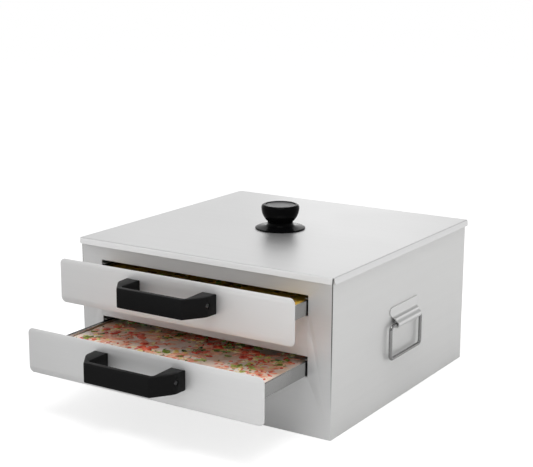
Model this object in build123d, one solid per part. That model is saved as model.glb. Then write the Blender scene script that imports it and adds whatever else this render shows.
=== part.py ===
"""Two-drawer rice noodle roll steamer for a hob.

A square stainless box holds water in its base and carries two drawers on folded
channel rails. Each drawer is a plate with a moulded handle and a welded frame, and
its shallow steaming pan drops into the frame. A turned-down lid closes the top, and
a wire bail hangs from a folded bracket on each side.

Millimetres. +X is to the right, +Y to the back, +Z up. The origin is the centre of
the box's underside. The drawers stand part-way out, as a cook leaves them to show
the sheets.
"""
from build123d import *
import os

# ---- Box ----
BODY_WIDTH = 370.0
BODY_DEPTH = 370.0
BODY_HEIGHT = 196.5
BODY_SHEET = 1.0
BODY_CORNER = 2.0
RIM_FLANGE = 10.0
FRONT_FLANGE = 12.0
WATER_PAN_HEIGHT = 50.0

# ---- Lid and knob ----
LID_SHEET = 1.0
LID_SKIRT = 8.0
LID_OVERHANG = 3.4
LID_CORNER_SLIT = 1.6
LID_BEND = 1.2
KNOB_FLANGE_RADIUS = 33.3
KNOB_FLANGE_EDGE = 1.8
KNOB_FLANGE_HUB = 3.8
KNOB_SKIRT_RADIUS = 19.5
KNOB_WAIST_RADIUS = 16.8
KNOB_WAIST_HEIGHT = 8.0
KNOB_BULB_RADIUS = 25.2
KNOB_BULB_HEIGHT = 28.8
KNOB_HEIGHT = 32.2
KNOB_CAP_RADIUS = 19.7
KNOB_CAP_THICKNESS = 1.2
KNOB_CAP_RECESS = 2.0
KNOB_SCREW_RADIUS = 2.5
KNOB_SCREW_LENGTH = 16.0
KNOB_HEAD_RADIUS = 4.8
KNOB_HEAD_HEIGHT = 3.2
KNOB_WASHER_RADIUS = 8.0
KNOB_WASHER_THICKNESS = 1.0

# ---- Slots in the front wall ----
SLOT_MARGIN = 32.2
SLOT_HEIGHT = 25.0
SLOT_CORNER = 1.0
SLOT_BELOW_RIM = 24.8
DRAWER_PITCH = 74.0

# ---- Drawer frame and its rails ----
FRAME_SHEET = 1.0
FRAME_HEIGHT = 17.5
FRAME_LENGTH = 330.0
FRAME_SIDE_GAP = 1.6
FRAME_FLANGE = 12.0
FRAME_UPTURN = 4.5
RAIL_SHEET = 1.0
RAIL_LEDGE = 12.0
RAIL_LIP = 5.0
RAIL_RUN_GAP = 0.3
RAIL_LIP_GAP = 1.5
RAIL_LEDGE_RISE = 0.6
RAIL_TAB = 12.0

# ---- Steaming pan and the rice sheet in it ----
PAN_SHEET = 0.8
PAN_DEPTH = 12.5
PAN_GAP = 1.0
PAN_CORNER = 3.0
PAN_BEAD_RADIUS = 0.7
SHEET_GAP = 0.4
SHEET_THICKNESS = 8.4

# ---- Drawer front plate ----
PLATE_SIDE_LAP = 17.4
PLATE_THICKNESS = 1.2
PLATE_CORNER = 7.0
PLATE_ABOVE_SLOT = 12.5
PLATE_BELOW_SLOT = 18.5
UPPER_PULL = 58.0
LOWER_PULL = 120.0

# ---- Drawer handle ----
HANDLE_FOOT_OUTER = 65.3
HANDLE_FOOT_INNER = 46.0
HANDLE_REACH = 43.3
HANDLE_GRIP = 7.8
HANDLE_BEND_Y = 18.0
HANDLE_BEND_OUTER = 64.8
HANDLE_FRONT_HALF = 46.8
HANDLE_HEIGHT = 24.0
HANDLE_DROP = 10.4
HANDLE_BEND_RADIUS = 16.0
HANDLE_FRONT_RADIUS = 3.0
HANDLE_INNER_RADIUS = 3.0
HANDLE_EDGE = 1.3
POCKET_INNER = 49.5
POCKET_OUTER = 57.0
POCKET_DEPTH = 22.0
POCKET_HEIGHT = 17.0
TAB_SHEET = 1.5
TAB_HEIGHT = 15.0
TAB_GAP = 0.3
SIDE_SCREW_Y = 16.0
SIDE_SCREW_RISE = 1.6
SIDE_SCREW_RADIUS = 2.0
SIDE_SCREW_HEAD = 3.3
SIDE_SCREW_HEAD_HEIGHT = 1.6
SIDE_SCREW_SINK = 2.6
SIDE_SCREW_TIP = 2.5
SCREW_GAP = 0.05

# ---- Side bracket and bail ----
BRACKET_SHEET = 1.6
BRACKET_PLATE = 12.0
BRACKET_RAMP = 9.9
BRACKET_HALF = 40.0
BRACKET_CORNER = 5.0
KNUCKLE_HALF = 32.0
KNUCKLE_STANDOFF = 5.7
KNUCKLE_Z = 103.6
KNUCKLE_SLIT = 1.6
BEAD_RADIUS = 1.3
BAIL_WIRE_RADIUS = 2.2
BAIL_PLAY = 0.5
BAIL_HALF = 41.8
BAIL_DROP = 41.8
BAIL_SHIFT = -4.6
BAIL_BEND = 5.0
BAIL_END_GAP = 2.0

# ---- Places worked out from the sizes above ----
HALF_WIDTH = BODY_WIDTH / 2
HALF_DEPTH = BODY_DEPTH / 2
INNER_X = HALF_WIDTH - BODY_SHEET
INNER_Y = HALF_DEPTH - BODY_SHEET
LID_TOP = BODY_HEIGHT + LID_SHEET
UPPER_SLOT_TOP = BODY_HEIGHT - SLOT_BELOW_RIM
RAIL_X = HALF_WIDTH - SLOT_MARGIN
FRAME_HALF = RAIL_X - FRAME_SIDE_GAP
PAN_HALF = FRAME_HALF - FRAME_SHEET - PAN_GAP
KNUCKLE_RADIUS = BAIL_WIRE_RADIUS + BAIL_PLAY + BRACKET_SHEET
KNUCKLE_X = HALF_WIDTH + KNUCKLE_STANDOFF
BRACKET_FOOT = KNUCKLE_Z + BRACKET_RAMP
BRACKET_TOP = BRACKET_FOOT + BRACKET_PLATE


def block(x_span, y_span, z_span):
    """A box between the given pairs of X, Y and Z."""
    size = [abs(high - low) for low, high in (x_span, y_span, z_span)]
    middle = [(low + high) / 2 for low, high in (x_span, y_span, z_span)]
    return Pos(*middle) * Box(*size)


def upright_disc(x, y, z_span, radius):
    """A cylinder that stands along Z."""
    return Pos(x, y, sum(z_span) / 2) * Cylinder(radius, z_span[1] - z_span[0])


def rod_along_x(x_span, y, z, radius):
    """A cylinder that lies along X."""
    length = abs(x_span[1] - x_span[0])
    return Pos(sum(x_span) / 2, y, z) * Rot(0, 90, 0) * Cylinder(radius, length)


def rod_along_y(x, y_span, z, radius):
    """A cylinder that lies along Y."""
    length = abs(y_span[1] - y_span[0])
    return Pos(x, sum(y_span) / 2, z) * Rot(90, 0, 0) * Cylinder(radius, length)


def rounded_slab(x_span, y_span, z_span, radius):
    """A flat slab with its four upright edges rounded."""
    slab = block(x_span, y_span, z_span)
    return fillet(slab.edges().filter_by(Axis.Z), radius)


# ---- Box ----
def cabinet_wrap():
    """Left, back and right walls folded from one sheet, with a turned-in rim."""
    walls = block((-HALF_WIDTH, HALF_WIDTH), (-INNER_Y, HALF_DEPTH), (0, BODY_HEIGHT))
    back_edges = walls.edges().filter_by(Axis.Z).sort_by(Axis.Y)[-2:]
    walls = fillet(back_edges, BODY_CORNER)
    room_top = BODY_HEIGHT - BODY_SHEET
    room = block((-INNER_X, INNER_X), (-HALF_DEPTH, INNER_Y), (-BODY_SHEET, room_top))
    room_edges = room.edges().filter_by(Axis.Z).sort_by(Axis.Y)[-2:]
    walls -= fillet(room_edges, BODY_CORNER - BODY_SHEET)
    mouth_x = INNER_X - RIM_FLANGE
    mouth_y = INNER_Y - RIM_FLANGE
    walls -= block((-mouth_x, mouth_x), (-HALF_DEPTH, mouth_y), (room_top, BODY_HEIGHT + 1))
    for side in (-1, 1):
        flange_x = sorted((side * INNER_X, side * (INNER_X - FRONT_FLANGE)))
        flange_z = (WATER_PAN_HEIGHT + BODY_SHEET, room_top)
        walls += block(flange_x, (-INNER_Y, -INNER_Y + BODY_SHEET), flange_z)
    return walls


def slot_bottom(level):
    """Height of a slot's lower edge: level 0 is the upper slot, 1 the lower one."""
    return UPPER_SLOT_TOP - level * DRAWER_PITCH - SLOT_HEIGHT


def front_wall():
    """The front sheet with a slot for each drawer and a turned-in rim."""
    wall = block((-HALF_WIDTH, HALF_WIDTH), (-HALF_DEPTH, -INNER_Y), (0, BODY_HEIGHT))
    for level in (0, 1):
        low = slot_bottom(level)
        slot = block((-RAIL_X, RAIL_X), (-HALF_DEPTH - 1, -INNER_Y + 1), (low, low + SLOT_HEIGHT))
        wall -= fillet(slot.edges().filter_by(Axis.Y), SLOT_CORNER)
    rim_x = INNER_X - RIM_FLANGE - BODY_SHEET
    rim_z = (BODY_HEIGHT - BODY_SHEET, BODY_HEIGHT)
    wall += block((-rim_x, rim_x), (-INNER_Y, -INNER_Y + RIM_FLANGE), rim_z)
    return wall


def water_pan():
    """The floor of the box, turned up all round to hold the water."""
    pan = block((-INNER_X, INNER_X), (-INNER_Y, INNER_Y), (0, WATER_PAN_HEIGHT))
    pan = fillet(pan.edges().filter_by(Axis.Z).sort_by(Axis.Y)[-2:], BODY_CORNER - BODY_SHEET)
    room_x = INNER_X - BODY_SHEET
    room_y = INNER_Y - BODY_SHEET
    pan -= block((-room_x, room_x), (-room_y, room_y), (BODY_SHEET, WATER_PAN_HEIGHT + 1))
    return pan


def rail(side, level):
    """A folded channel that carries one side of a drawer and stops it tipping."""
    ledge_top = slot_bottom(level) + RAIL_LEDGE_RISE
    lip_low = frame_bottom(level) + FRAME_HEIGHT + RAIL_LIP_GAP
    z_span = (ledge_top - RAIL_SHEET, lip_low + RAIL_SHEET)
    run = (-INNER_Y, INNER_Y)
    web_x = (RAIL_X, RAIL_X + RAIL_SHEET)
    channel = block(web_x, run, z_span)
    channel += block((RAIL_X - RAIL_LEDGE, RAIL_X), run, (z_span[0], ledge_top))
    channel += block((RAIL_X - RAIL_LIP, RAIL_X), run, (lip_low, z_span[1]))
    for end in run:
        inward = end - RAIL_SHEET if end > 0 else end + RAIL_SHEET
        tab_x = (web_x[1], web_x[1] + RAIL_TAB)
        channel += block(tab_x, sorted((end, inward)), z_span)
    return channel if side > 0 else mirror(channel, about=Plane.YZ)


# ---- Side handles ----
def handle_bracket(side):
    """A plate on the wall whose lower edge is pressed out and curled round the wire."""
    wall_x = HALF_WIDTH
    face_x = wall_x + BRACKET_SHEET
    plate = block((wall_x, face_x), (-BRACKET_HALF, BRACKET_HALF), (BRACKET_FOOT, BRACKET_TOP))
    plate = fillet(plate.edges().filter_by(Axis.X), min(BRACKET_CORNER, 0.45 * BRACKET_PLATE))
    crown_z = KNUCKLE_Z + KNUCKLE_RADIUS
    section = Polyline(
        (wall_x, BRACKET_FOOT),
        (face_x, BRACKET_FOOT + BRACKET_SHEET),
        (KNUCKLE_X + BRACKET_SHEET / 2, crown_z - 0.1 * BRACKET_SHEET),
        (KNUCKLE_X - BRACKET_SHEET, crown_z - BRACKET_SHEET),
        close=True,
    )
    ramp_face = Plane(origin=(0, KNUCKLE_HALF, 0), x_dir=(1, 0, 0), z_dir=(0, -1, 0))
    ramp = extrude(ramp_face * make_face(section), KNUCKLE_HALF * 2)
    span = (-KNUCKLE_HALF, KNUCKLE_HALF)
    bead_x = (face_x + KNUCKLE_X) / 2
    bead_z = (BRACKET_FOOT + crown_z) / 2
    bracket = plate + ramp + rod_along_y(bead_x, span, bead_z, BEAD_RADIUS)
    bracket += rod_along_y(KNUCKLE_X, span, KNUCKLE_Z, KNUCKLE_RADIUS)
    through = (-KNUCKLE_HALF - 1, KNUCKLE_HALF + 1)
    bracket -= rod_along_y(KNUCKLE_X, through, KNUCKLE_Z, BAIL_WIRE_RADIUS + BAIL_PLAY)
    slit_x = (KNUCKLE_X - KNUCKLE_RADIUS - 1, KNUCKLE_X - BAIL_WIRE_RADIUS)
    slit_z = (KNUCKLE_Z - KNUCKLE_SLIT, KNUCKLE_Z)
    bracket -= block(slit_x, through, slit_z)
    return bracket if side > 0 else mirror(bracket, about=Plane.YZ)


def bail(side):
    """The wire loop: two pins in the knuckle, two legs and the bar that is lifted."""
    near = BAIL_SHIFT - BAIL_HALF
    far = BAIL_SHIFT + BAIL_HALF
    low = KNUCKLE_Z - BAIL_DROP
    corners = [(-BAIL_END_GAP / 2, KNUCKLE_Z), (near, KNUCKLE_Z), (near, low)]
    corners += [(far, low), (far, KNUCKLE_Z), (BAIL_END_GAP / 2, KNUCKLE_Z)]
    points = [(KNUCKLE_X, y, z) for y, z in corners]
    path = FilletPolyline(*points, radius=BAIL_BEND)
    start = Plane(origin=path @ 0, z_dir=path % 0)
    wire = sweep(start * Circle(BAIL_WIRE_RADIUS), path)
    return wire if side > 0 else mirror(wire, about=Plane.YZ)


# ---- Lid ----
def lid_panel():
    """A flat top with a turned-down skirt that is open at its four corners."""
    half_x = HALF_WIDTH + LID_OVERHANG
    half_y = HALF_DEPTH + LID_OVERHANG
    low = LID_TOP - LID_SKIRT
    lid = rounded_slab((-half_x, half_x), (-half_y, half_y), (low, LID_TOP), LID_BEND)
    lid = fillet(lid.faces().sort_by(Axis.Z)[-1].edges(), LID_BEND * 0.9)
    room_x = half_x - LID_SHEET
    room_y = half_y - LID_SHEET
    lid -= block((-room_x, room_x), (-room_y, room_y), (low - 1, BODY_HEIGHT))
    for side_x in (-1, 1):
        for side_y in (-1, 1):
            slit_x = sorted((side_x * (half_x - LID_CORNER_SLIT), side_x * (half_x + 1)))
            slit_y = sorted((side_y * (half_y - LID_CORNER_SLIT), side_y * (half_y + 1)))
            lid -= block(slit_x, slit_y, (low - 1, BODY_HEIGHT - LID_BEND / 2))
    lid -= upright_disc(0, 0, (low, LID_TOP + 1), KNOB_SCREW_RADIUS + SCREW_GAP)
    return lid


def lid_knob():
    """Moulded knob: a thin wide flange, a waist and a cup-shaped grip."""
    with BuildSketch(Plane.XZ) as outline:
        with BuildLine():
            Line((0, 0), (KNOB_FLANGE_RADIUS - 0.6, 0))
            Line((KNOB_FLANGE_RADIUS - 0.6, 0), (KNOB_FLANGE_RADIUS, 0.6))
            Line((KNOB_FLANGE_RADIUS, 0.6), (KNOB_FLANGE_RADIUS, KNOB_FLANGE_EDGE - 0.3))
            Line((KNOB_FLANGE_RADIUS, KNOB_FLANGE_EDGE - 0.3), (KNOB_SKIRT_RADIUS, KNOB_FLANGE_HUB))
            waist_low = (KNOB_WAIST_RADIUS, KNOB_WAIST_HEIGHT)
            skirt = ((KNOB_SKIRT_RADIUS + KNOB_WAIST_RADIUS) / 2 - 0.5, KNOB_WAIST_HEIGHT * 0.72)
            ThreePointArc((KNOB_SKIRT_RADIUS, KNOB_FLANGE_HUB), skirt, waist_low)
            neck = (KNOB_WAIST_RADIUS + 0.7, KNOB_WAIST_HEIGHT + 2.2)
            Line(waist_low, neck)
            belly_r = KNOB_WAIST_RADIUS + 0.80 * (KNOB_BULB_RADIUS - KNOB_WAIST_RADIUS)
            belly_z = KNOB_WAIST_HEIGHT + 0.52 * (KNOB_BULB_HEIGHT - KNOB_WAIST_HEIGHT)
            widest = (KNOB_BULB_RADIUS, KNOB_BULB_HEIGHT)
            ThreePointArc(neck, (belly_r, belly_z), widest)
            crown = (KNOB_BULB_RADIUS - 2.4, KNOB_HEIGHT)
            shoulder = (KNOB_BULB_RADIUS - 0.4, KNOB_HEIGHT - 1.1)
            ThreePointArc(widest, shoulder, crown)
            Line(crown, (KNOB_CAP_RADIUS + 0.6, KNOB_HEIGHT + 0.2))
            recess = KNOB_HEIGHT - KNOB_CAP_RECESS
            Line((KNOB_CAP_RADIUS + 0.6, KNOB_HEIGHT + 0.2), (KNOB_CAP_RADIUS, KNOB_HEIGHT - 0.4))
            Line((KNOB_CAP_RADIUS, KNOB_HEIGHT - 0.4), (KNOB_CAP_RADIUS, recess))
            Line((KNOB_CAP_RADIUS, recess), (0, recess))
            Line((0, recess), (0, 0))
        make_face()
    knob = Pos(0, 0, LID_TOP) * revolve(outline.sketch, axis=Axis.Z)
    hole_z = (LID_TOP - 1, LID_TOP + KNOB_SCREW_LENGTH - KNOB_WASHER_THICKNESS)
    return knob - upright_disc(0, 0, hole_z, KNOB_SCREW_RADIUS + SCREW_GAP)


def knob_cap():
    """The disc that closes the knob's top recess."""
    low = LID_TOP + KNOB_HEIGHT - KNOB_CAP_RECESS
    disc = upright_disc(0, 0, (low, low + KNOB_CAP_THICKNESS), KNOB_CAP_RADIUS - SCREW_GAP)
    return fillet(disc.faces().sort_by(Axis.Z)[-1].edges(), KNOB_CAP_THICKNESS / 3)


def knob_washer():
    """The flat washer between the screw's head and the lid's underside."""
    high = BODY_HEIGHT
    low = high - KNOB_WASHER_THICKNESS
    washer = upright_disc(0, 0, (low, high), KNOB_WASHER_RADIUS)
    return washer - upright_disc(0, 0, (low - 1, high + 1), KNOB_SCREW_RADIUS + SCREW_GAP)


def knob_screw():
    """The screw that holds the knob from inside the lid."""
    seat = BODY_HEIGHT - KNOB_WASHER_THICKNESS
    head = upright_disc(0, 0, (seat - KNOB_HEAD_HEIGHT, seat), KNOB_HEAD_RADIUS)
    head = fillet(head.faces().sort_by(Axis.Z)[0].edges(), KNOB_HEAD_HEIGHT / 3)
    recess_z = (seat - KNOB_HEAD_HEIGHT - 1, seat - KNOB_HEAD_HEIGHT / 2)
    reach = KNOB_HEAD_RADIUS / 2
    bar = KNOB_HEAD_RADIUS / 8
    head -= block((-reach, reach), (-bar, bar), recess_z)
    head -= block((-bar, bar), (-reach, reach), recess_z)
    shank_z = (seat, seat + KNOB_SCREW_LENGTH)
    return head + upright_disc(0, 0, shank_z, KNOB_SCREW_RADIUS)


# ---- Drawers ----
def frame_bottom(level):
    """Height of a drawer frame's underside, just above its rails' ledges."""
    return slot_bottom(level) + RAIL_LEDGE_RISE + RAIL_RUN_GAP


def plate_back(level):
    """Y of the back of a drawer's front plate, where the frame starts."""
    return -HALF_DEPTH - (UPPER_PULL, LOWER_PULL)[level]


def plate_top(level):
    """Height of a front plate's upper edge."""
    return UPPER_SLOT_TOP - level * DRAWER_PITCH + PLATE_ABOVE_SLOT


def drawer_plate(level):
    """The flat front plate of a drawer, which covers its slot when it is shut."""
    back = plate_back(level)
    high = plate_top(level)
    half = RAIL_X + PLATE_SIDE_LAP
    low = slot_bottom(level) - PLATE_BELOW_SLOT
    plate = block((-half, half), (back - PLATE_THICKNESS, back), (low, high))
    return fillet(plate.edges().filter_by(Axis.Y), PLATE_CORNER)


def drawer_frame(level):
    """An open frame of channel section: wall, running flange and upturned lip."""
    front = plate_back(level)
    back = front + FRAME_LENGTH
    low = frame_bottom(level)
    high = low + FRAME_HEIGHT
    ring = block((-FRAME_HALF, FRAME_HALF), (front, back), (low, high))

    def trim(inset, z_span):
        edge = FRAME_HALF - inset
        return block((-edge, edge), (front + inset, back - inset), z_span)

    ring -= trim(FRAME_SHEET, (low + FRAME_SHEET, high + 1))
    lip_top = low + FRAME_UPTURN
    ring += trim(FRAME_FLANGE - FRAME_SHEET, (low, lip_top))
    return ring - trim(FRAME_FLANGE, (low - 1, high + 1))


def pan_spans(level, inset):
    """X and Y spans of a level's steaming pan, drawn in by inset."""
    edge = PAN_HALF - inset
    front = plate_back(level) + FRAME_SHEET + PAN_GAP + inset
    back = plate_back(level) + FRAME_LENGTH - FRAME_SHEET - PAN_GAP - inset
    return (-edge, edge), (front, back)


def steaming_pan(level):
    """The shallow lift-out pan, which rests on the frame's upturned lip."""
    low = frame_bottom(level) + FRAME_UPTURN
    high = low + PAN_DEPTH
    outer_x, outer_y = pan_spans(level, 0)
    wall_x, wall_y = pan_spans(level, PAN_BEAD_RADIUS)
    pan = rounded_slab(wall_x, wall_y, (low, high), PAN_CORNER - PAN_BEAD_RADIUS)
    bead_z = (high - 2 * PAN_BEAD_RADIUS, high)
    pan += rounded_slab(outer_x, outer_y, bead_z, PAN_CORNER)
    room_inset = PAN_BEAD_RADIUS + PAN_SHEET
    room_x, room_y = pan_spans(level, room_inset)
    room_z = (low + PAN_SHEET, high + 1)
    return pan - rounded_slab(room_x, room_y, room_z, PAN_CORNER - room_inset)


def rice_sheet(level):
    """The steamed sheet with its filling, which lies on the pan's floor."""
    low = frame_bottom(level) + FRAME_UPTURN + PAN_SHEET
    inset = PAN_BEAD_RADIUS + PAN_SHEET + SHEET_GAP
    span_x, span_y = pan_spans(level, inset)
    return rounded_slab(span_x, span_y, (low, low + SHEET_THICKNESS), PAN_CORNER - inset)


def handle_middle(level):
    """Height of the middle of a drawer's handle."""
    return plate_top(level) - HANDLE_DROP - HANDLE_HEIGHT / 2


def side_screw_z(level):
    """Height of the screws in a handle's legs."""
    return handle_middle(level) + SIDE_SCREW_RISE


def foot_pocket(side, face_y, middle):
    """The hollow in a handle's foot that slips over its bracket."""
    pocket_x = sorted((side * POCKET_INNER, side * POCKET_OUTER))
    pocket_z = (middle - POCKET_HEIGHT / 2, middle + POCKET_HEIGHT / 2)
    return block(pocket_x, (face_y - POCKET_DEPTH, face_y + 1), pocket_z)


def drawer_handle(level):
    """The moulded handle: a flat grip between two legs that spread to their feet."""
    face_y = plate_back(level) - PLATE_THICKNESS
    right = [(HANDLE_FOOT_INNER, 0), (HANDLE_FOOT_OUTER, 0)]
    right += [(HANDLE_BEND_OUTER, -HANDLE_BEND_Y), (HANDLE_FRONT_HALF, -HANDLE_REACH)]
    left = [(-x, y) for x, y in reversed(right)]
    inner_y = HANDLE_GRIP - HANDLE_REACH
    inner = [(-HANDLE_FOOT_INNER, inner_y), (HANDLE_FOOT_INNER, inner_y)]
    shape = make_face(Polyline(*right, *left, *inner, close=True))
    corners = shape.vertices()
    bends = corners.filter_by_position(Axis.Y, -HANDLE_BEND_Y - 1, -HANDLE_BEND_Y + 1)
    shape = fillet(bends, HANDLE_BEND_RADIUS)
    fronts = shape.vertices().filter_by_position(Axis.Y, -HANDLE_REACH - 1, -HANDLE_REACH + 1)
    shape = fillet(fronts, HANDLE_FRONT_RADIUS)
    inners = shape.vertices().filter_by_position(Axis.Y, inner_y - 0.5, inner_y + 0.5)
    shape = fillet(inners, HANDLE_INNER_RADIUS)
    middle = handle_middle(level)
    low = middle - HANDLE_HEIGHT / 2
    handle = extrude(Pos(0, face_y, low) * shape, HANDLE_HEIGHT)
    rims = ShapeList()
    for level_z in (low, low + HANDLE_HEIGHT):
        rims += handle.edges().filter_by_position(Axis.Z, level_z - 0.1, level_z + 0.1)
    rims = rims.filter_by_position(Axis.Y, face_y - 2 * HANDLE_REACH, face_y - 0.1)
    handle = fillet(rims, HANDLE_EDGE)
    screw_y = face_y - SIDE_SCREW_Y
    screw_z = side_screw_z(level)
    for side in (-1, 1):
        handle -= foot_pocket(side, face_y, middle)
        seat = side * (HANDLE_FOOT_OUTER - SIDE_SCREW_SINK)
        outside = side * (HANDLE_FOOT_OUTER + 1)
        sink = rod_along_x((seat, outside), screw_y, screw_z, SIDE_SCREW_HEAD + SCREW_GAP)
        inside = side * (POCKET_OUTER - 1)
        hole = rod_along_x((inside, seat), screw_y, screw_z, SIDE_SCREW_RADIUS + SCREW_GAP)
        handle -= sink + hole
    return handle


def handle_brackets(level):
    """Two steel angles welded to the front plate, one inside each foot."""
    face_y = plate_back(level) - PLATE_THICKNESS
    middle = handle_middle(level)
    z_span = (middle - TAB_HEIGHT / 2, middle + TAB_HEIGHT / 2)
    pair = []
    for side in (-1, 1):
        tab_outer = POCKET_OUTER - TAB_GAP
        tab_x = sorted((side * tab_outer, side * (tab_outer - TAB_SHEET)))
        tip_y = face_y - POCKET_DEPTH + TAB_GAP
        angle = block(tab_x, (tip_y, face_y), z_span)
        base_x = sorted((side * tab_outer, side * (POCKET_INNER + TAB_GAP)))
        angle += block(base_x, (face_y - TAB_SHEET, face_y), z_span)
        span = (side * (tab_outer + 1), side * (tab_outer - TAB_SHEET - 1))
        screw_y = face_y - SIDE_SCREW_Y
        hole = rod_along_x(span, screw_y, side_screw_z(level), SIDE_SCREW_RADIUS + SCREW_GAP)
        pair.append(angle - hole)
    return Compound(children=pair)


def handle_screws(level):
    """The two cross-recess screws that hold the legs to their brackets."""
    face_y = plate_back(level) - PLATE_THICKNESS
    screw_y = face_y - SIDE_SCREW_Y
    screw_z = side_screw_z(level)
    pair = []
    for side in (-1, 1):
        seat = HANDLE_FOOT_OUTER - SIDE_SCREW_SINK
        crown = seat + SIDE_SCREW_HEAD_HEIGHT
        screw = rod_along_x((side * seat, side * crown), screw_y, screw_z, SIDE_SCREW_HEAD)
        tip = POCKET_OUTER - TAB_GAP - TAB_SHEET - SIDE_SCREW_TIP
        screw += rod_along_x((side * tip, side * seat), screw_y, screw_z, SIDE_SCREW_RADIUS)
        recess_x = sorted((side * (crown - SIDE_SCREW_HEAD_HEIGHT / 2), side * (crown + 1)))
        arm = SIDE_SCREW_HEAD * 0.62
        bar = SIDE_SCREW_HEAD * 0.16
        screw -= block(recess_x, (screw_y - arm, screw_y + arm), (screw_z - bar, screw_z + bar))
        screw -= block(recess_x, (screw_y - bar, screw_y + bar), (screw_z - arm, screw_z + arm))
        pair.append(screw)
    return Compound(children=pair)


def all_pieces():
    """Every piece by its name."""
    pieces = {
        "cabinet_wrap": cabinet_wrap(),
        "front_wall": front_wall(),
        "water_pan": water_pan(),
        "lid_panel": lid_panel(),
        "lid_knob": lid_knob(),
        "knob_cap": knob_cap(),
        "knob_washer": knob_washer(),
        "knob_screw": knob_screw(),
    }
    for side, hand in ((-1, "left"), (1, "right")):
        pieces[f"{hand}_handle_bracket"] = handle_bracket(side)
        pieces[f"{hand}_bail"] = bail(side)
        for level, height in enumerate(("upper", "lower")):
            pieces[f"{height}_{hand}_rail"] = rail(side, level)
    for level, height in enumerate(("upper", "lower")):
        pieces[f"{height}_drawer_plate"] = drawer_plate(level)
        pieces[f"{height}_drawer_frame"] = drawer_frame(level)
        pieces[f"{height}_steaming_pan"] = steaming_pan(level)
        pieces[f"{height}_rice_sheet"] = rice_sheet(level)
        pieces[f"{height}_handle"] = drawer_handle(level)
        pieces[f"{height}_handle_brackets"] = handle_brackets(level)
        pieces[f"{height}_handle_screws"] = handle_screws(level)
    return pieces


os.makedirs("parts", exist_ok=True)
for name, piece in all_pieces().items():
    export_step(piece, f"parts/{name}.step")
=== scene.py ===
# %% [markdown]
# # A two-drawer rice noodle roll steamer
#
# The real thing is a square box of satin stainless sheet that stands on a hob. A shallow lid with a
# black knob closes it, two drawers slide in folded rails, and each drawer carries a thin pan in which
# a sheet of rice batter sets in the steam. A wire bail hangs from a folded bracket on each side.
#
# The construction is already fixed by a CAD frame, in metres: +X is right, +Y is back, +Z is up, and
# the origin is under the middle of the box. This lesson dresses that frame: it gives each surface its
# finish, and builds as meshes the pieces whose look needs more than a plain solid.

# %% Load the frame
import math
import random

import bmesh
import bpy
from mathutils import Matrix, Vector, noise


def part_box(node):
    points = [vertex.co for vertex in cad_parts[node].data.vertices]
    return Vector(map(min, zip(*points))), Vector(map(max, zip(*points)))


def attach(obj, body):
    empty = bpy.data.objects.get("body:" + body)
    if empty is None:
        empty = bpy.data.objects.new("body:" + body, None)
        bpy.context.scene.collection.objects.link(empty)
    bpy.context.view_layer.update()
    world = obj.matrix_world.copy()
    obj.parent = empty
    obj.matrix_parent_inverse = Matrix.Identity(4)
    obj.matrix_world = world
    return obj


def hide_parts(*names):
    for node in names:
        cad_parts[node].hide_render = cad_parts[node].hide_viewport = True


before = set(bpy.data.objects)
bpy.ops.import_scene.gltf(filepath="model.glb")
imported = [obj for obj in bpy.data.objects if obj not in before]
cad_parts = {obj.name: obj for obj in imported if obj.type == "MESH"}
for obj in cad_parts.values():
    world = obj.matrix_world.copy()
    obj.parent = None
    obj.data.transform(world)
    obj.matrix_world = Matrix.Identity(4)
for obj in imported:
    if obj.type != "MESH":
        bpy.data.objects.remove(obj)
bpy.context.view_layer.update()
MM = 0.001

# %% [markdown]
# ## The camera
#
# The camera stands where the photographer stood: in front, to the right and a little above, with a
# long lens. It is placed from an angle round the object, a tilt and a small roll, rather than aimed
# with a constraint, because then each number means one thing and can be checked by itself.

# %% Place the camera
CAMERA_AT = Vector((0.8676, -1.4053, 0.5707))
CAMERA_TURN = math.radians(32.322)
CAMERA_TILT = math.radians(12.987)
CAMERA_ROLL = math.radians(0.266)
CAMERA_LENS = 86.06


def place_camera():
    """A camera that looks along +Y, turned to the left, tilted down and rolled a little."""
    camera = bpy.data.objects.new("photo_camera", bpy.data.cameras.new("photo_camera"))
    bpy.context.scene.collection.objects.link(camera)
    camera.data.lens = CAMERA_LENS
    camera.data.sensor_fit = "HORIZONTAL"
    turn = Matrix.Rotation(CAMERA_TURN, 4, "Z")
    tilt = Matrix.Rotation(math.radians(90) - CAMERA_TILT, 4, "X")
    roll = Matrix.Rotation(CAMERA_ROLL, 4, "Z")
    camera.matrix_world = Matrix.Translation(CAMERA_AT) @ turn @ tilt @ roll
    bpy.context.scene.camera = camera
    return camera


print("camera:", place_camera().name, "lens", CAMERA_LENS, "mm")

# %% [markdown]
# ## Wiring nodes
#
# Every material and node group below is a small net of nodes. A few helpers keep the wiring readable:
# one adds any node and sets its inputs by name, one starts a node group with named sockets, and the
# rest are short names for the nodes that are used most.

# %% Node helpers
def add_node(tree, kind, settings=None, **inputs):
    """Adds a node. Settings are its own options; inputs are numbers, colours or other sockets."""
    node = tree.nodes.new(kind)
    for key, value in (settings or {}).items():
        setattr(node, key, value)
    for key, value in inputs.items():
        label = key.replace("_", " ")
        socket = node.inputs[int(key[1:])] if key[0] == "i" and key[1:].isdigit() else node.inputs[label]
        if isinstance(value, bpy.types.NodeSocket):
            tree.links.new(value, socket)
        else:
            socket.default_value = value
    return node


def math_node(tree, operation, first, second=0.0, third=0.0):
    """A Math node's result."""
    node = add_node(tree, "ShaderNodeMath", {"operation": operation}, i0=first, i1=second, i2=third)
    return node.outputs[0]


def vector_math(tree, operation, first, second, output="Vector"):
    """A Vector Math node's result."""
    node = add_node(tree, "ShaderNodeVectorMath", {"operation": operation}, i0=first, i1=second)
    return node.outputs[output]


def scaled(tree, vector, factor):
    """A vector made longer or shorter."""
    node = add_node(tree, "ShaderNodeVectorMath", {"operation": "SCALE"}, i0=vector, Scale=factor)
    return node.outputs[0]


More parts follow.
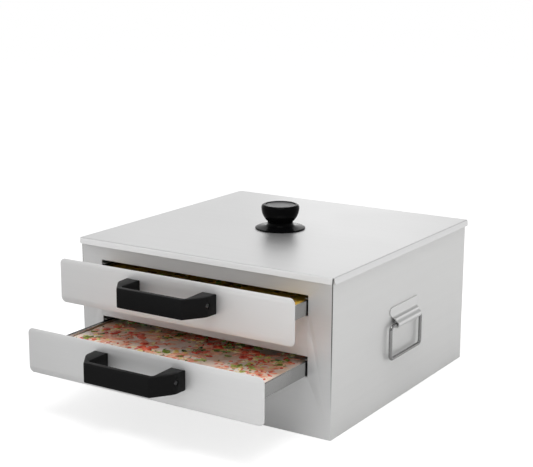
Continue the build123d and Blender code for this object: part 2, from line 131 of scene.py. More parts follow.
def along(tree, place, direction):
    """How far a point lies in a direction."""
    return vector_math(tree, "DOT_PRODUCT", place, direction, "Value")


def length_of(tree, vector):
    """A vector's length."""
    return add_node(tree, "ShaderNodeVectorMath", {"operation": "LENGTH"}, i0=vector).outputs["Value"]


def surface_place(tree):
    """The point of the surface, in the piece's own metres."""
    return add_node(tree, "ShaderNodeTexCoord").outputs["Object"]


def cloud_noise(tree, place, scale, detail, roughness, distortion=0.0):
    """Layered noise of about 0 to 1."""
    node = add_node(
        tree, "ShaderNodeTexNoise", Vector=place, Scale=scale, Detail=detail,
        Roughness=roughness, Distortion=distortion,
    )
    return node.outputs[0]


def mix_colour(tree, share, first, second):
    """A colour mixed from two by a share of 0 to 1."""
    node = add_node(tree, "ShaderNodeMix", {"data_type": "RGBA"}, i0=share, i6=first, i7=second)
    return node.outputs[2]


def map_range(tree, value, low, high, to_low, to_high):
    """A value moved from one range to another, and kept inside it."""
    node = add_node(tree, "ShaderNodeMapRange", {"clamp": True}, Value=value)
    for index, number in enumerate((low, high, to_low, to_high), start=1):
        node.inputs[index].default_value = number
    return node.outputs["Result"]


def start_group(name, inputs, outputs):
    """A shader node group with named inputs, (name, default), and outputs, (name, socket type)."""
    group = bpy.data.node_groups.new(name, "ShaderNodeTree")
    for label, default in inputs:
        socket = group.interface.new_socket(label, in_out="INPUT", socket_type="NodeSocketFloat")
        socket.default_value = default
    for label, kind in outputs:
        group.interface.new_socket(label, in_out="OUTPUT", socket_type=kind)
    return group, group.nodes.new("NodeGroupInput"), group.nodes.new("NodeGroupOutput")


def use_group(tree, group, **values):
    """Places a node group in a material with its own values."""
    return add_node(tree, "ShaderNodeGroup", {"node_tree": group}, **values)


print("node helpers ready")

# %% [markdown]
# ## Studio: floor, world and lamps
#
# The photo is a studio picture on white. Bare steel has hardly any colour of its own: what it shows
# is the room. So the room is built first, as a pale floor, a pale world that fades upwards, one wide
# soft lamp overhead and two faint ones behind that the lid mirrors. The camera sees white paper. The
# steel sees the same paper with its fall-off: dimmer in front on the left, and brighter behind and
# farther away. That gives the plates their gradient from left to right and the walls theirs from
# bottom to top.

# %% Tone of the paper sweep
PAPER_HALF = 15.0
PAPER_BELOW = 0.2 * MM
PAPER_PLAIN = (0.72, 0.72, 0.71, 1)
PAPER_DIM = (0.30, 0.30, 0.30, 1)
PAPER_BRIGHT = (0.74, 0.74, 0.74, 1)
PAPER_SHINE = 0.15
PAPER_GLOW = 0.72
PAPER_TAKES_LIGHT = (0.45, 0.45, 0.45, 1)
WHITE = (1, 1, 1, 1)

# The dim part of the sweep, as a direction and the distances along it where it ends.
LIT_TO_THE_RIGHT = (0.83, -0.55, 0)
RIGHT_SPAN = (-0.02, 0.30)
LIT_BEHIND = (0.55, 0.83, 0)
BEHIND_SPAN = (-0.35, 0.05)

# Close to the box the paper lies in its shade, and the tone grows with the distance.
SHADE_SPAN = (0.25, 1.0)
SHADE_TONE = (0.72, 1.25)


def seen_directly(tree):
    """Two masks: 1 for camera rays, and 1 for mirror and glass rays."""
    path = add_node(tree, "ShaderNodeLightPath")
    mirror = math_node(
        tree, "MAXIMUM", path.outputs["Is Glossy Ray"], path.outputs["Is Transmission Ray"]
    )
    return path.outputs["Is Camera Ray"], mirror


def rectangle(x_low, x_high, y_low, y_high):
    """A rectangle's corners, anticlockwise."""
    return [(x_low, y_low), (x_high, y_low), (x_high, y_high), (x_low, y_high)]


def paper_floor():
    """A wide floor at the level that the box stands on."""
    mesh = bpy.data.meshes.new("paper_floor")
    half = PAPER_HALF
    corners = [(x, y, -PAPER_BELOW) for x, y in rectangle(-half, half, -half, half)]
    mesh.from_pydata(corners, [], [(0, 1, 2, 3)])
    floor = bpy.data.objects.new("paper_floor", mesh)
    bpy.context.scene.collection.objects.link(floor)
    return floor


def floor_material():
    """White paper that keeps the object's shadow, with its own tone in mirrors."""
    material = bpy.data.materials.new("paper")
    material.use_nodes = True
    tree = material.node_tree
    tree.nodes.clear()
    camera_ray, mirror_ray = seen_directly(tree)
    place = surface_place(tree)
    right = map_range(tree, along(tree, place, LIT_TO_THE_RIGHT), *RIGHT_SPAN, 0.0, 1.0)
    behind = map_range(tree, along(tree, place, LIT_BEHIND), *BEHIND_SPAN, 0.0, 1.0)
    lit = math_node(tree, "MAXIMUM", right, behind)
    away = map_range(tree, length_of(tree, place), *SHADE_SPAN, *SHADE_TONE)
    sweep = scaled(tree, mix_colour(tree, lit, PAPER_DIM, PAPER_BRIGHT), away)
    plain = add_node(tree, "ShaderNodeBsdfDiffuse", Color=PAPER_PLAIN)
    dull = add_node(tree, "ShaderNodeBsdfDiffuse", Color=sweep)
    shine = add_node(tree, "ShaderNodeEmission", Color=sweep, Strength=PAPER_SHINE)
    mirrored = add_node(tree, "ShaderNodeAddShader", i0=dull.outputs[0], i1=shine.outputs[0])
    glow = add_node(tree, "ShaderNodeEmission", Color=WHITE, Strength=PAPER_GLOW)
    shaded = add_node(tree, "ShaderNodeBsdfDiffuse", Color=PAPER_TAKES_LIGHT)
    seen = add_node(tree, "ShaderNodeAddShader", i0=glow.outputs[0], i1=shaded.outputs[0])
    paper = add_node(
        tree, "ShaderNodeMixShader", i0=mirror_ray, i1=plain.outputs[0], i2=mirrored.outputs[0]
    )
    paper = add_node(tree, "ShaderNodeMixShader", i0=camera_ray, i1=paper.outputs[0], i2=seen.outputs[0])
    add_node(tree, "ShaderNodeOutputMaterial", Surface=paper.outputs[0])
    return material


floor = paper_floor()
floor.data.materials.append(floor_material())
print("floor:", floor.name)

# %% World and lamps
WORLD_DIFFUSE = 0.62
WALL_SPAN = (0.0, 0.62)
WALL_TONE = (1.12, 0.40)
SKYLINE_SPAN = (0.0, 0.14)
SKYLINE_TONE = (0.45, 0.0)
TO_THE_RIGHT = (0.86, 0.5, 0)
RIGHT_WALL_SPAN = (-1.0, 0.6)
RIGHT_WALL_TONE = (1.32, 0.84)
TO_THE_CAMERA = (0.53, -0.85, 0)
CAMERA_WALL_SPAN = (0.60, 0.95)
CAMERA_WALL_TONE = (1.0, 0.22)

# Each lamp's name, place, aim, size and power.
LAMPS = (
    ("overhead_soft_box", (0.25, -0.45, 1.55), (0, -0.05, 0.1), 0.85, 14.0),
    ("back_soft_box", (-0.95, 1.45, 0.62), (0, 0.05, 0.2), 0.9, 0.45),
    ("low_back_card", (-0.34, 0.95, 0.36), (0.05, 0.1, 0.2), 0.42, 0.26),
)


def paper_world():
    """A pale room: white for the camera, a fading wall for mirrors, a plain level for the rest.

    The wall is brightest at the skyline, darker on the right, and darkest behind the camera.
    """
    world = bpy.data.worlds.new("paper_room")
    world.use_nodes = True
    tree = world.node_tree
    tree.nodes.clear()
    camera_ray, mirror_ray = seen_directly(tree)
    direction = add_node(tree, "ShaderNodeTexCoord").outputs["Generated"]
    height = add_node(tree, "ShaderNodeSeparateXYZ", Vector=direction).outputs["Z"]
    upward = map_range(tree, height, *WALL_SPAN, *WALL_TONE)
    skyline = map_range(tree, height, *SKYLINE_SPAN, *SKYLINE_TONE)
    right = map_range(tree, along(tree, direction, TO_THE_RIGHT), *RIGHT_WALL_SPAN, *RIGHT_WALL_TONE)
    camera_side = along(tree, direction, TO_THE_CAMERA)
    camera_wall = map_range(tree, camera_side, *CAMERA_WALL_SPAN, *CAMERA_WALL_TONE)
    wall = math_node(tree, "MULTIPLY", math_node(tree, "ADD", upward, skyline), right)
    wall = math_node(tree, "MULTIPLY", wall, camera_wall)
    level = math_node(tree, "MULTIPLY", mirror_ray, wall)
    rest = math_node(tree, "SUBTRACT", 1.0, mirror_ray)
    level = math_node(tree, "MULTIPLY_ADD", rest, WORLD_DIFFUSE, level)
    level = math_node(tree, "MAXIMUM", level, camera_ray)
    background = add_node(tree, "ShaderNodeBackground", Color=WHITE, Strength=level)
    add_node(tree, "ShaderNodeOutputWorld", Surface=background.outputs[0])
    bpy.context.scene.world = world
    return world


def soft_lamp(name, place, aim, size, power):
    """A square soft box aimed at a point. Mirrors see it, the camera doesn't."""
    lamp = bpy.data.lights.new(name, "AREA")
    lamp.shape = "SQUARE"
    lamp.size = size
    lamp.energy = power
    holder = bpy.data.objects.new(name, lamp)
    holder.location = place
    holder.rotation_euler = (Vector(aim) - Vector(place)).to_track_quat("-Z", "Y").to_euler()
    holder.visible_camera = False
    bpy.context.scene.collection.objects.link(holder)
    return holder


paper_world()
for lamp_row in LAMPS:
    soft_lamp(*lamp_row)
bpy.context.scene.view_settings.view_transform = "Standard"
print("world level", WORLD_DIFFUSE, "and", len(bpy.data.lights), "lamps")

# %% [markdown]
# ## Shared surface effects
#
# Rolled stainless sheet is polished with a belt, which leaves short scratches that all run one way,
# and hands and cloths leave a faint haze on top. Moulded plastic has a fine stipple from its tool.
# Each effect is one node group, so that every material places the same effect with its own values.
# A painted picture would do for one view, but it has no scale of its own: here a streak is as long
# and as fine as it is on real sheet, wherever it lies.

# %% Belt grain
BROAD_SCRATCH = 0.14
BROAD_SHARE = 0.55


def belt_grain_group():
    """Short parallel scratches, along X on faces that look forwards or up and along Y on sides.

    Fine scratches lie over broad ones, which are the same pattern at a larger size.
    """
    group, given, result = start_group(
        "belt_grain",
        [("Along", 5.0), ("Across", 620.0), ("Contrast", 0.5)],
        [("Streak", "NodeSocketFloat"), ("Height", "NodeSocketFloat")],
    )
    facing = add_node(group, "ShaderNodeNewGeometry").outputs["True Normal"]
    sideways = add_node(group, "ShaderNodeSeparateXYZ", Vector=facing).outputs["X"]
    sideways = math_node(group, "ROUND", math_node(group, "ABSOLUTE", sideways))
    fast, slow = given.outputs["Across"], given.outputs["Along"]
    forward_scale = add_node(group, "ShaderNodeCombineXYZ", X=slow, Y=fast, Z=fast).outputs[0]
    side_scale = add_node(group, "ShaderNodeCombineXYZ", X=fast, Y=slow, Z=fast).outputs[0]
    scale = mix_colour(group, sideways, forward_scale, side_scale)
    fine_at = vector_math(group, "MULTIPLY", surface_place(group), scale)
    fine = cloud_noise(group, fine_at, 1.0, 3.0, 0.6)
    broad = cloud_noise(group, scaled(group, fine_at, BROAD_SCRATCH), 1.0, 2.0, 0.5)
    fine_share = math_node(group, "MULTIPLY", fine, 1 - BROAD_SHARE)
    both = math_node(group, "MULTIPLY_ADD", broad, BROAD_SHARE, fine_share)
    centred = math_node(group, "SUBTRACT", both, 0.5)
    streak = math_node(group, "MULTIPLY_ADD", centred, given.outputs["Contrast"], 0.5)
    group.links.new(streak, result.inputs["Streak"])
    group.links.new(fine, result.inputs["Height"])
    return group


BELT_GRAIN = belt_grain_group()
print("group:", BELT_GRAIN.name)

# %% Handling haze
def haze_group():
    """Soft cloudy patches, where hands and cloths have dulled a surface."""
    group, given, result = start_group(
        "handling_haze",
        [("Size", 0.12), ("Amount", 0.5)],
        [("Haze", "NodeSocketFloat")],
    )
    scale = math_node(group, "DIVIDE", 1.0, given.outputs["Size"])
    cloud = cloud_noise(group, surface_place(group), scale, 4.0, 0.55, 0.6)
    centred = math_node(group, "SUBTRACT", cloud, 0.5)
    haze = math_node(group, "MULTIPLY_ADD", centred, given.outputs["Amount"], 0.5)
    group.links.new(haze, result.inputs["Haze"])
    return group


HANDLING_HAZE = haze_group()
print("group:", HANDLING_HAZE.name)

# %% Moulded stipple
def stipple_group():
    """The fine even roughness that a spark-cut tool leaves on moulded plastic."""
    group, given, result = start_group(
        "moulded_stipple",
        [("Pitch", 0.0006), ("Depth", 0.5)],
        [("Height", "NodeSocketFloat")],
    )
    scale = math_node(group, "DIVIDE", 1.0, given.outputs["Pitch"])
    grain = cloud_noise(group, surface_place(group), scale, 2.0, 0.6)
    height = math_node(group, "MULTIPLY", grain, given.outputs["Depth"])
    group.links.new(height, result.inputs["Height"])
    return group


MOULDED_STIPPLE = stipple_group()
print("group:", MOULDED_STIPPLE.name)

# %% [markdown]
# ## Steel finishes
#
# All the sheet on this steamer is the same satin stainless, but each piece has had its own handling:
# the lid and plates are wiped bright, the rails are bare mill sheet, the pan is polished. One
# function makes them all. Its colour moves only a few percent with the grain, because on real
# sheet the grain shows mostly as a change of roughness. The frames, rails and handle screws are
# painted darker than the sheet, as painted shade for where they lie, and the bail wire is painted
# dark for the dark reflections along it. The front sheet gets one thing more, a painted dark
# hairline of shade down each end, in the joint where it meets the wrap.

# %% Satin steel
GRAIN_DARK = 0.93
GRAIN_LIGHT = 1.06
GRAIN_SPAN = (0.6, 1.4)
SMOOTHER = 0.05
ROUGHER = 0.06
SCRATCH_DEPTH = 0.02 * MM
STIPPLE_DEPTH = 0.05 * MM


def shader_tree(name):
    """An empty material with a Principled shader."""
    material = bpy.data.materials.new(name)
    material.use_nodes = True
    tree = material.node_tree
    tree.nodes.clear()
    shader = add_node(tree, "ShaderNodeBsdfPrincipled")
    add_node(tree, "ShaderNodeOutputMaterial", Surface=shader.outputs[0])
    return material, tree, shader


def add_bump(tree, shader, strength, distance, height):
    """Relief that is too fine to be geometry."""
    bump = add_node(tree, "ShaderNodeBump", Strength=strength, Distance=distance, Height=height)
    tree.links.new(bump.outputs[0], shader.inputs["Normal"])


def satin_steel(name, shade, roughness, grain=0.5, haze=0.5, relief=0.10, metal=1.0):
    """Belt-polished stainless sheet. A little less than all metal gives a bead-blasted softness."""
    material, tree, shader = shader_tree(name)
    shader.inputs["Metallic"].default_value = metal
    belt = use_group(tree, BELT_GRAIN, Contrast=grain)
    cloud = use_group(tree, HANDLING_HAZE, Amount=haze)
    dark = tuple(value * GRAIN_DARK for value in shade) + (1,)
    light = tuple(min(value * GRAIN_LIGHT, 1) for value in shade) + (1,)
    tree.links.new(mix_colour(tree, belt.outputs["Streak"], dark, light), shader.inputs["Base Color"])
    gloss = math_node(tree, "ADD", cloud.outputs["Haze"], belt.outputs["Streak"])
    rough = map_range(tree, gloss, *GRAIN_SPAN, roughness - SMOOTHER, roughness + ROUGHER)
    tree.links.new(rough, shader.inputs["Roughness"])
    add_bump(tree, shader, relief, SCRATCH_DEPTH, belt.outputs["Height"])
    return material


# The hairline is painted shade, for the dark gap where the front sheet meets the wrap.
SEAM_SHADE_WIDTH = 1.0 * MM
SEAM_SHADE_SOFTNESS = 0.2 * MM
SEAM_SHADE_TONE = (0.10, 0.10, 0.10, 1)
SEAM_SHADE_FADE = (0.03, 0.12)


def painted_seam_shade(material, edge):
    """A painted shade line down both ends of a sheet, in its joints, fading towards the floor."""
    tree = material.node_tree
    colour = tree.nodes["Principled BSDF"].inputs["Base Color"]
    plain = colour.links[0].from_socket
    split = add_node(tree, "ShaderNodeSeparateXYZ", Vector=surface_place(tree))
    out = math_node(tree, "ABSOLUTE", split.outputs["X"])
    start = edge - SEAM_SHADE_WIDTH
    line = map_range(tree, out, start, start + SEAM_SHADE_SOFTNESS, 0.0, 1.0)
    fade = map_range(tree, split.outputs["Z"], *SEAM_SHADE_FADE, 0.0, 1.0)
    share = math_node(tree, "MULTIPLY", line, fade)
    tree.links.new(mix_colour(tree, share, plain, SEAM_SHADE_TONE), colour)


LID_STEEL = satin_steel("lid_satin", (0.80, 0.80, 0.80), 0.42, relief=0.06)
WALL_STEEL = satin_steel("wall_satin", (0.82, 0.82, 0.815), 0.62, relief=0.06, metal=0.75)
FRONT_STEEL = satin_steel("front_satin", (0.82, 0.82, 0.82), 0.50, relief=0.06, metal=0.62)
painted_seam_shade(FRONT_STEEL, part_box("front_wall")[1].x)
PLATE_STEEL = satin_steel("plate_satin", (0.82, 0.82, 0.82), 0.52, relief=0.06, metal=0.7)
# Painted shade: the frames are painted dark for the shade they lie in behind the plates.
FRAME_STEEL = satin_steel("frame_satin", (0.38, 0.38, 0.375), 0.24)
# Painted shade: the rails are painted dark for the shade inside the box.
RAIL_STEEL = satin_steel("rail_mill_painted_shade", (0.36, 0.36, 0.355), 0.50, grain=0.8)
FLOOR_STEEL = satin_steel("water_pan_mill", (0.60, 0.60, 0.59), 0.40, haze=0.9)
PAN_STEEL = satin_steel("pan_bright", (0.82, 0.82, 0.81), 0.22, grain=0.3)
BRACKET_STEEL = satin_steel("bracket_pressed", (0.76, 0.76, 0.755), 0.34, grain=0.3)
# Painted dark reflection: the bright wire is painted dark so that it shows dark lines along it.
WIRE_STEEL = satin_steel("bail_wire_painted_dark", (0.30, 0.30, 0.30), 0.10, grain=0.2, haze=0.3, relief=0.03)
SCREW_STEEL = satin_steel("screw_bright", (0.50, 0.50, 0.50), 0.16, grain=0.2, haze=0.3, relief=0.03)
# Painted shade: the handle screws are painted dark for the shade of the sinks they sit in.
SCREW_PAINTED_SHADE = satin_steel("screw_painted_shade", (0.06, 0.06, 0.062), 0.14, grain=0.2, haze=0.3, relief=0.03)
print("steels:", [m.name for m in bpy.data.materials if m.name != "paper"])

# %% [markdown]
# ## Black plastic
#
# The handles are moulded with a satin stipple that scatters the soft box into a grey sheen on their
# upper faces. The knob is the same black, but polished, so it shows small hard highlights. Both are
# nearly black in themselves: everything that is seen on them is reflection.

# %% Moulded black
def moulded_black(name, shade, roughness, depth, shine):
    """Black plastic with a tool stipple and slow changes of gloss."""
    material, tree, shader = shader_tree(name)
    shader.inputs["Specular IOR Level"].default_value = shine
    stipple = use_group(tree, MOULDED_STIPPLE)
    cloud = use_group(tree, HANDLING_HAZE, Size=0.03, Amount=0.8)
    dull = tuple(value * 1.5 for value in shade) + (1,)
    tree.links.new(mix_colour(tree, cloud.outputs["Haze"], shade + (1,), dull), shader.inputs["Base Color"])
    rough = map_range(tree, cloud.outputs["Haze"], 0.2, 0.8, roughness - 0.04, roughness + 0.05)
    tree.links.new(rough, shader.inputs["Roughness"])
    add_bump(tree, shader, depth, STIPPLE_DEPTH, stipple.outputs["Height"])
    return material


HANDLE_BLACK = moulded_black("handle_black", (0.005, 0.005, 0.0052), 0.42, 0.25, 0.08)
KNOB_BLACK = moulded_black("knob_black", (0.002, 0.002, 0.0022), 0.14, 0.02, 0.03)
CAP_GREY = moulded_black("knob_cap_grey", (0.05, 0.05, 0.052), 0.36, 0.10, 0.5)
print("plastics:", HANDLE_BLACK.name, KNOB_BLACK.name, CAP_GREY.name)

# %% [markdown]
# ## Finishes on the CAD pieces
#
# The wrap, the water pan, the rails and the hidden fasteners are already the right shape, so they
# keep their CAD meshes and only get their finish.

# %% Dress the CAD pieces
CAD_FINISHES = {
    "cabinet_wrap": WALL_STEEL,
    "water_pan": FLOOR_STEEL,
    "knob_washer": SCREW_STEEL,
    "knob_screw": SCREW_STEEL,
    "upper_handle_brackets": SCREW_STEEL,
    "lower_handle_brackets": SCREW_STEEL,
    "upper_left_rail": RAIL_STEEL,
    "upper_right_rail": RAIL_STEEL,
    "lower_left_rail": RAIL_STEEL,
    "lower_right_rail": RAIL_STEEL,
}


def dress(node, material):
    """Puts a finish on every material slot of a CAD piece."""
    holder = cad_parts[node]
    if not holder.material_slots:
        holder.data.materials.append(material)
    for place in holder.material_slots:
        place.material = material


for node_name, finish in CAD_FINISHES.items():
    dress(node_name, finish)
print("dressed:", len(CAD_FINISHES), "CAD pieces")

# %% [markdown]
# ## Mesh tools
#
# Most pieces here are sheet metal or mouldings, and three shapes cover them: an outline with rounded
# corners that is cut from sheet, a rounded rectangle that is swept up a folded section, and a turned
# profile. Each is a function that returns a mesh, in metres, where the piece lies.

# %% Rounded paths
def rounded_path(corners, radius, closed=True, steps=6):
    """Points along straight runs whose corners are arcs, with one radius or one for each corner."""
    radii = radius if isinstance(radius, (list, tuple)) else [radius] * len(corners)
    path = []
    for index, corner in enumerate(corners):
        here = Vector(corner)
        at_end = not closed and index in (0, len(corners) - 1)
        if at_end or radii[index] == 0:
            path.append(here)
            continue
        before = (Vector(corners[index - 1]) - here).normalized()
        after = (Vector(corners[(index + 1) % len(corners)]) - here).normalized()
        half = before.angle(after) / 2
        centre = here + (before + after).normalized() * (radii[index] / math.sin(half))
        reach = radii[index] / math.tan(half)
        first = here + before * reach - centre
        last = here + after * reach - centre
        turn = math.pi - 2 * half
        for step in range(steps + 1):
            share = step / steps
            arm = first * math.sin((1 - share) * turn) + last * math.sin(share * turn)
            path.append(centre + arm / math.sin(turn))
    return path


def corner_trim(radius, distance):
    """How far a round corner draws an edge in, at a distance from the corner's end."""
    if distance >= radius:
        return 0.0
    return radius - math.sqrt(max(radius**2 - (radius - distance) ** 2, 0))


print("path of a rounded square:", len(rounded_path(rectangle(-1, 1, -1, 1), 0.2)), "points")

# %% From shapes to meshes
def finished(shape, name):
    """The mesh of a shape that is ready. The shape is let go."""
    mesh = bpy.data.meshes.new(name)
    shape.to_mesh(mesh)
    shape.free()
    return mesh


def fill_grid(shape, rows):
    """Faces between the rows of a grid of points."""
    for upper, lower in zip(rows, rows[1:]):
        for index in range(len(upper) - 1):
            shape.faces.new((upper[index], lower[index], lower[index + 1], upper[index + 1]))


def join_loops(shape, lower, upper):
    """Faces between two closed loops of points."""
    for index in range(len(lower)):
        after = (index + 1) % len(lower)
        shape.faces.new((lower[index], lower[after], upper[after], upper[index]))


def round_bar(shape, radius, depth, place, segments):
    """Adds a closed round bar to a shape."""
    bmesh.ops.create_cone(
        shape, cap_ends=True, segments=segments, radius1=radius, radius2=radius, depth=depth, matrix=place
    )


print("shapes can be finished")

# %% Cut sheets
def cut_sheet(name, outlines, thickness, rim):
    """A flat sheet in the XY plane with softened rims. The first outline is its edge, the rest are holes."""
    curve = bpy.data.curves.new(name, "CURVE")
    curve.dimensions = "2D"
    curve.fill_mode = "BOTH"
    curve.extrude = thickness / 2 - rim
    curve.bevel_depth = rim
    curve.bevel_resolution = 2
    curve.offset = -rim
    for outline in outlines:
        spline = curve.splines.new("POLY")
        spline.points.add(len(outline) - 1)
        for point, at in zip(spline.points, outline):
            point.co = (at[0], at[1], 0, 1)
        spline.use_cyclic_u = True
    holder = bpy.data.objects.new(name, curve)
    mesh = bpy.data.meshes.new_from_object(holder)
    bpy.data.objects.remove(holder)
    bpy.data.curves.remove(curve)
    shape = bmesh.new()
    shape.from_mesh(mesh)
    bmesh.ops.remove_doubles(shape, verts=shape.verts, dist=0.002 * MM)
    bmesh.ops.recalc_face_normals(shape, faces=shape.faces)
    shape.to_mesh(mesh)
    shape.free()
    mesh.name = name
    return mesh


print("cut sheets ready")

# %% Folded rings
def folded_ring(name, x_span, y_span, corner, section, closed_section, steps=6):
    """A rounded rectangle swept along a section of (inset, height) points.

    A closed section makes a frame. An open one makes a tray: its first and last loops are filled.
    """
    shape = bmesh.new()
    loops = []
    for inset, height in section:
        outline = rectangle(x_span[0] + inset, x_span[1] - inset, y_span[0] + inset, y_span[1] - inset)
        radius = max(corner - inset, 0.15 * MM)
        path = rounded_path(outline, radius, steps=steps)
        loops.append([shape.verts.new((at[0], at[1], height)) for at in path])
    pairs = list(zip(loops, loops[1:]))
    if closed_section:
        pairs.append((loops[-1], loops[0]))
    for lower, upper in pairs:
        join_loops(shape, lower, upper)
    if not closed_section:
        shape.faces.new(list(reversed(loops[0])))
        shape.faces.new(loops[-1])
    bmesh.ops.recalc_face_normals(shape, faces=shape.faces)
    return finished(shape, name)


def arc(centre, radius, start, end, steps):
    """Points on an arc of (across, up), with angles in degrees from the across direction."""
    turns = [math.radians(start + (end - start) * step / steps) for step in range(steps + 1)]
    return [(centre[0] + radius * math.cos(t), centre[1] + radius * math.sin(t)) for t in turns]


print("folded rings ready")

# %% Turned shapes
def turned(name, profile, foot, steps=96):
    """A profile of (radius, height) points turned round a vertical axis that stands at foot."""
    shape = bmesh.new()
    rings = []
    for radius, height in profile:
        if radius == 0:
            rings.append([shape.verts.new((foot[0], foot[1], foot[2] + height))])
            continue
        ring = []
        for step in range(steps):
            angle = 2 * math.pi * step / steps
            at = (foot[0] + radius * math.cos(angle), foot[1] + radius * math.sin(angle), foot[2] + height)
            ring.append(shape.verts.new(at))
        rings.append(ring)
    for lower, upper in zip(rings, rings[1:]):
        for step in range(steps):
            after = (step + 1) % steps
            corners = [lower[step % len(lower)], lower[after % len(lower)]]
            corners += [upper[after % len(upper)], upper[step % len(upper)]]
            shape.faces.new(list(dict.fromkeys(corners)))
    bmesh.ops.recalc_face_normals(shape, faces=shape.faces)
    return finished(shape, name)


print("turned shapes ready")

# %% Modifiers applied at once
def applied(mesh, name, add_modifiers):
    """A mesh after its modifiers, which add_modifiers puts on a holder object."""
    holder = bpy.data.objects.new(name, mesh)
    bpy.context.scene.collection.objects.link(holder)
    add_modifiers(holder)
    bpy.context.view_layer.update()
    result = bpy.data.meshes.new_from_object(holder.evaluated_get(bpy.context.evaluated_depsgraph_get()))
    bpy.data.objects.remove(holder)
    return result


def skin(mesh, thickness, rim):
    """Gives a one-sided skin its sheet thickness, inwards, and softens its cut edges."""
    def add_modifiers(holder):
        wall = holder.modifiers.new("wall", "SOLIDIFY")
        wall.thickness = thickness
        wall.offset = -1
        wall.use_even_offset = True
        soft = holder.modifiers.new("soft", "BEVEL")
        soft.width = rim
        soft.segments = 2
        soft.limit_method = "ANGLE"
        soft.angle_limit = math.radians(55)
    return applied(mesh, "skin", add_modifiers)


def subtract(mesh, cutter_mesh):
    """A mesh with another one cut out of it."""
    cutter = bpy.data.objects.new("cut_tool", cutter_mesh)
    bpy.context.scene.collection.objects.link(cutter)

    def add_modifiers(holder):
        cut = holder.modifiers.new("cut", "BOOLEAN")
        cut.operation = "DIFFERENCE"
        cut.solver = "EXACT"
        cut.object = cutter
    result = applied(mesh, "cut_body", add_modifiers)
    bpy.data.objects.remove(cutter)
    return result


print("modifiers can be applied")

# %% Put a piece on the frame
SHEET_FACE = 1e-3  # in square metres


def put(name, mesh, material, body, nodes=(), sharp=32, sheet=False):
    """Shows a mesh as a piece: smooth apart from its sharp edges, riding on its CAD body.

    On a sheet, the large faces keep their own normal, so that only its rims look round.
    """
    mesh.shade_smooth()
    mesh.set_sharp_from_angle(angle=math.radians(sharp))
    if sheet:
        for face in mesh.polygons:
            face.use_smooth = face.area < SHEET_FACE
    mesh.materials.clear()
    mesh.materials.append(material)
    piece = bpy.data.objects.new(name, mesh)
    bpy.context.scene.collection.objects.link(piece)
    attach(piece, body)
    if nodes:
        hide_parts(*nodes)
    return piece


LEVELS = ("upper", "lower")
FACE_FRONT = Matrix.Rotation(math.radians(90), 4, "X")
print("pieces can be placed")

# %% [markdown]
# ## Front wall
#
# The front wall is one blank with two punched slots and a rim that is folded in under the lid. What
# the eye picks up are the punched edges: they are dressed with a file, so each one shows as a thin
# bright line round a dark opening. A sharp CAD edge can't do that, so the blank is cut again as a
# sheet with a soft rim, and the folded rim is a small strip behind its top.

# %% Cut the front wall
FRONT_RIM = 0.3 * MM
SLOT_CORNER = 1.0 * MM
SLOT_CLEAR = 0.9 * MM
SLOT_SIDE_GAP = 1.6 * MM
SLOT_HEIGHT = 25.0 * MM
FOLDED_SIDE = 12.0 * MM


def slot_outline(level):
    """A slot's outline, run clockwise because it is a hole."""
    low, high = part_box(f"{level}_drawer_frame")
    half = high.x + SLOT_SIDE_GAP
    bottom = low.z - SLOT_CLEAR
    outline = rounded_path(rectangle(-half, half, bottom, bottom + SLOT_HEIGHT), SLOT_CORNER)
    return outline[::-1]


def front_wall():
    """The front sheet with its two slots and the rim folded in at its top."""
    low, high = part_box("front_wall")
    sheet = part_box("cabinet_wrap")[0].y - low.y
    outline = rectangle(low.x, high.x, low.z, high.z)
    slots = [slot_outline(level) for level in LEVELS]
    blank = cut_sheet("front_wall_sheet", [outline] + slots, sheet, FRONT_RIM)
    blank.transform(Matrix.Translation((0, low.y + sheet / 2, 0)) @ FACE_FRONT)
    shape = bmesh.new()
    shape.from_mesh(blank)
    half = high.x - FOLDED_SIDE
    size = Matrix.Diagonal((half * 2, high.y - low.y - sheet, sheet, 1))
    middle = Vector((0, (low.y + sheet + high.y) / 2, high.z - sheet / 2))
    bmesh.ops.create_cube(shape, size=1.0, matrix=Matrix.Translation(middle) @ size)
    shape.to_mesh(blank)
    shape.free()
    return put("front_wall_sheet", blank, FRONT_STEEL, "cabinet", ["front_wall"], sheet=True)


print("front wall:", front_wall().name)

# %% [markdown]
# ## Lid
#
# The lid is a square of sheet whose four sides are folded down to a short skirt. The brake leaves a
# small round bend and a skirt that leans out by a few degrees, and each corner is nicked so that the
# folds don't meet. The bend catches a light line all round and the nick shows as a dark slit. Each
# flap is a profile that runs over the bend and down the skirt, carried along its side, and Solidify
# gives the skin its thickness.

# %% Fold the lid
LID_SHEET = 1.0 * MM
LID_BEND = 1.3 * MM
LID_LEAN = 1.0 * MM
LID_NICK = 2.0 * MM
LID_FOOT_ROUND = 2.2 * MM
LID_RIM = 0.15 * MM
LID_HOLE = 2.55 * MM
LID_HOLE_DEPTH = 6.0 * MM
SKIRT_ROWS = (0.25, 0.5, 0.7, 0.8, 0.88, 0.95, 1.0)
FLAP_COLUMNS = (-1.0, -0.999, -0.995, -0.99, -0.5, 0.0, 0.5, 0.99, 0.995, 0.999, 1.0)


def lid_flap_profile(low, high):
    """The fold's outer face as (out, height, trim), from the flat top over the bend and down."""
    edge = high.x - LID_LEAN
    bend = arc((edge - LID_BEND, high.z - LID_BEND), LID_BEND, 90, 5, 5)
    rows = [(x, z, 0.0) for x, z in bend]
    skirt_top = high.z - LID_BEND
    drop = skirt_top - low.z
    for share in SKIRT_ROWS:
        height = skirt_top - drop * share
        rows.append((edge + LID_LEAN * share, height, corner_trim(LID_FOOT_ROUND, height - low.z)))
    return rows


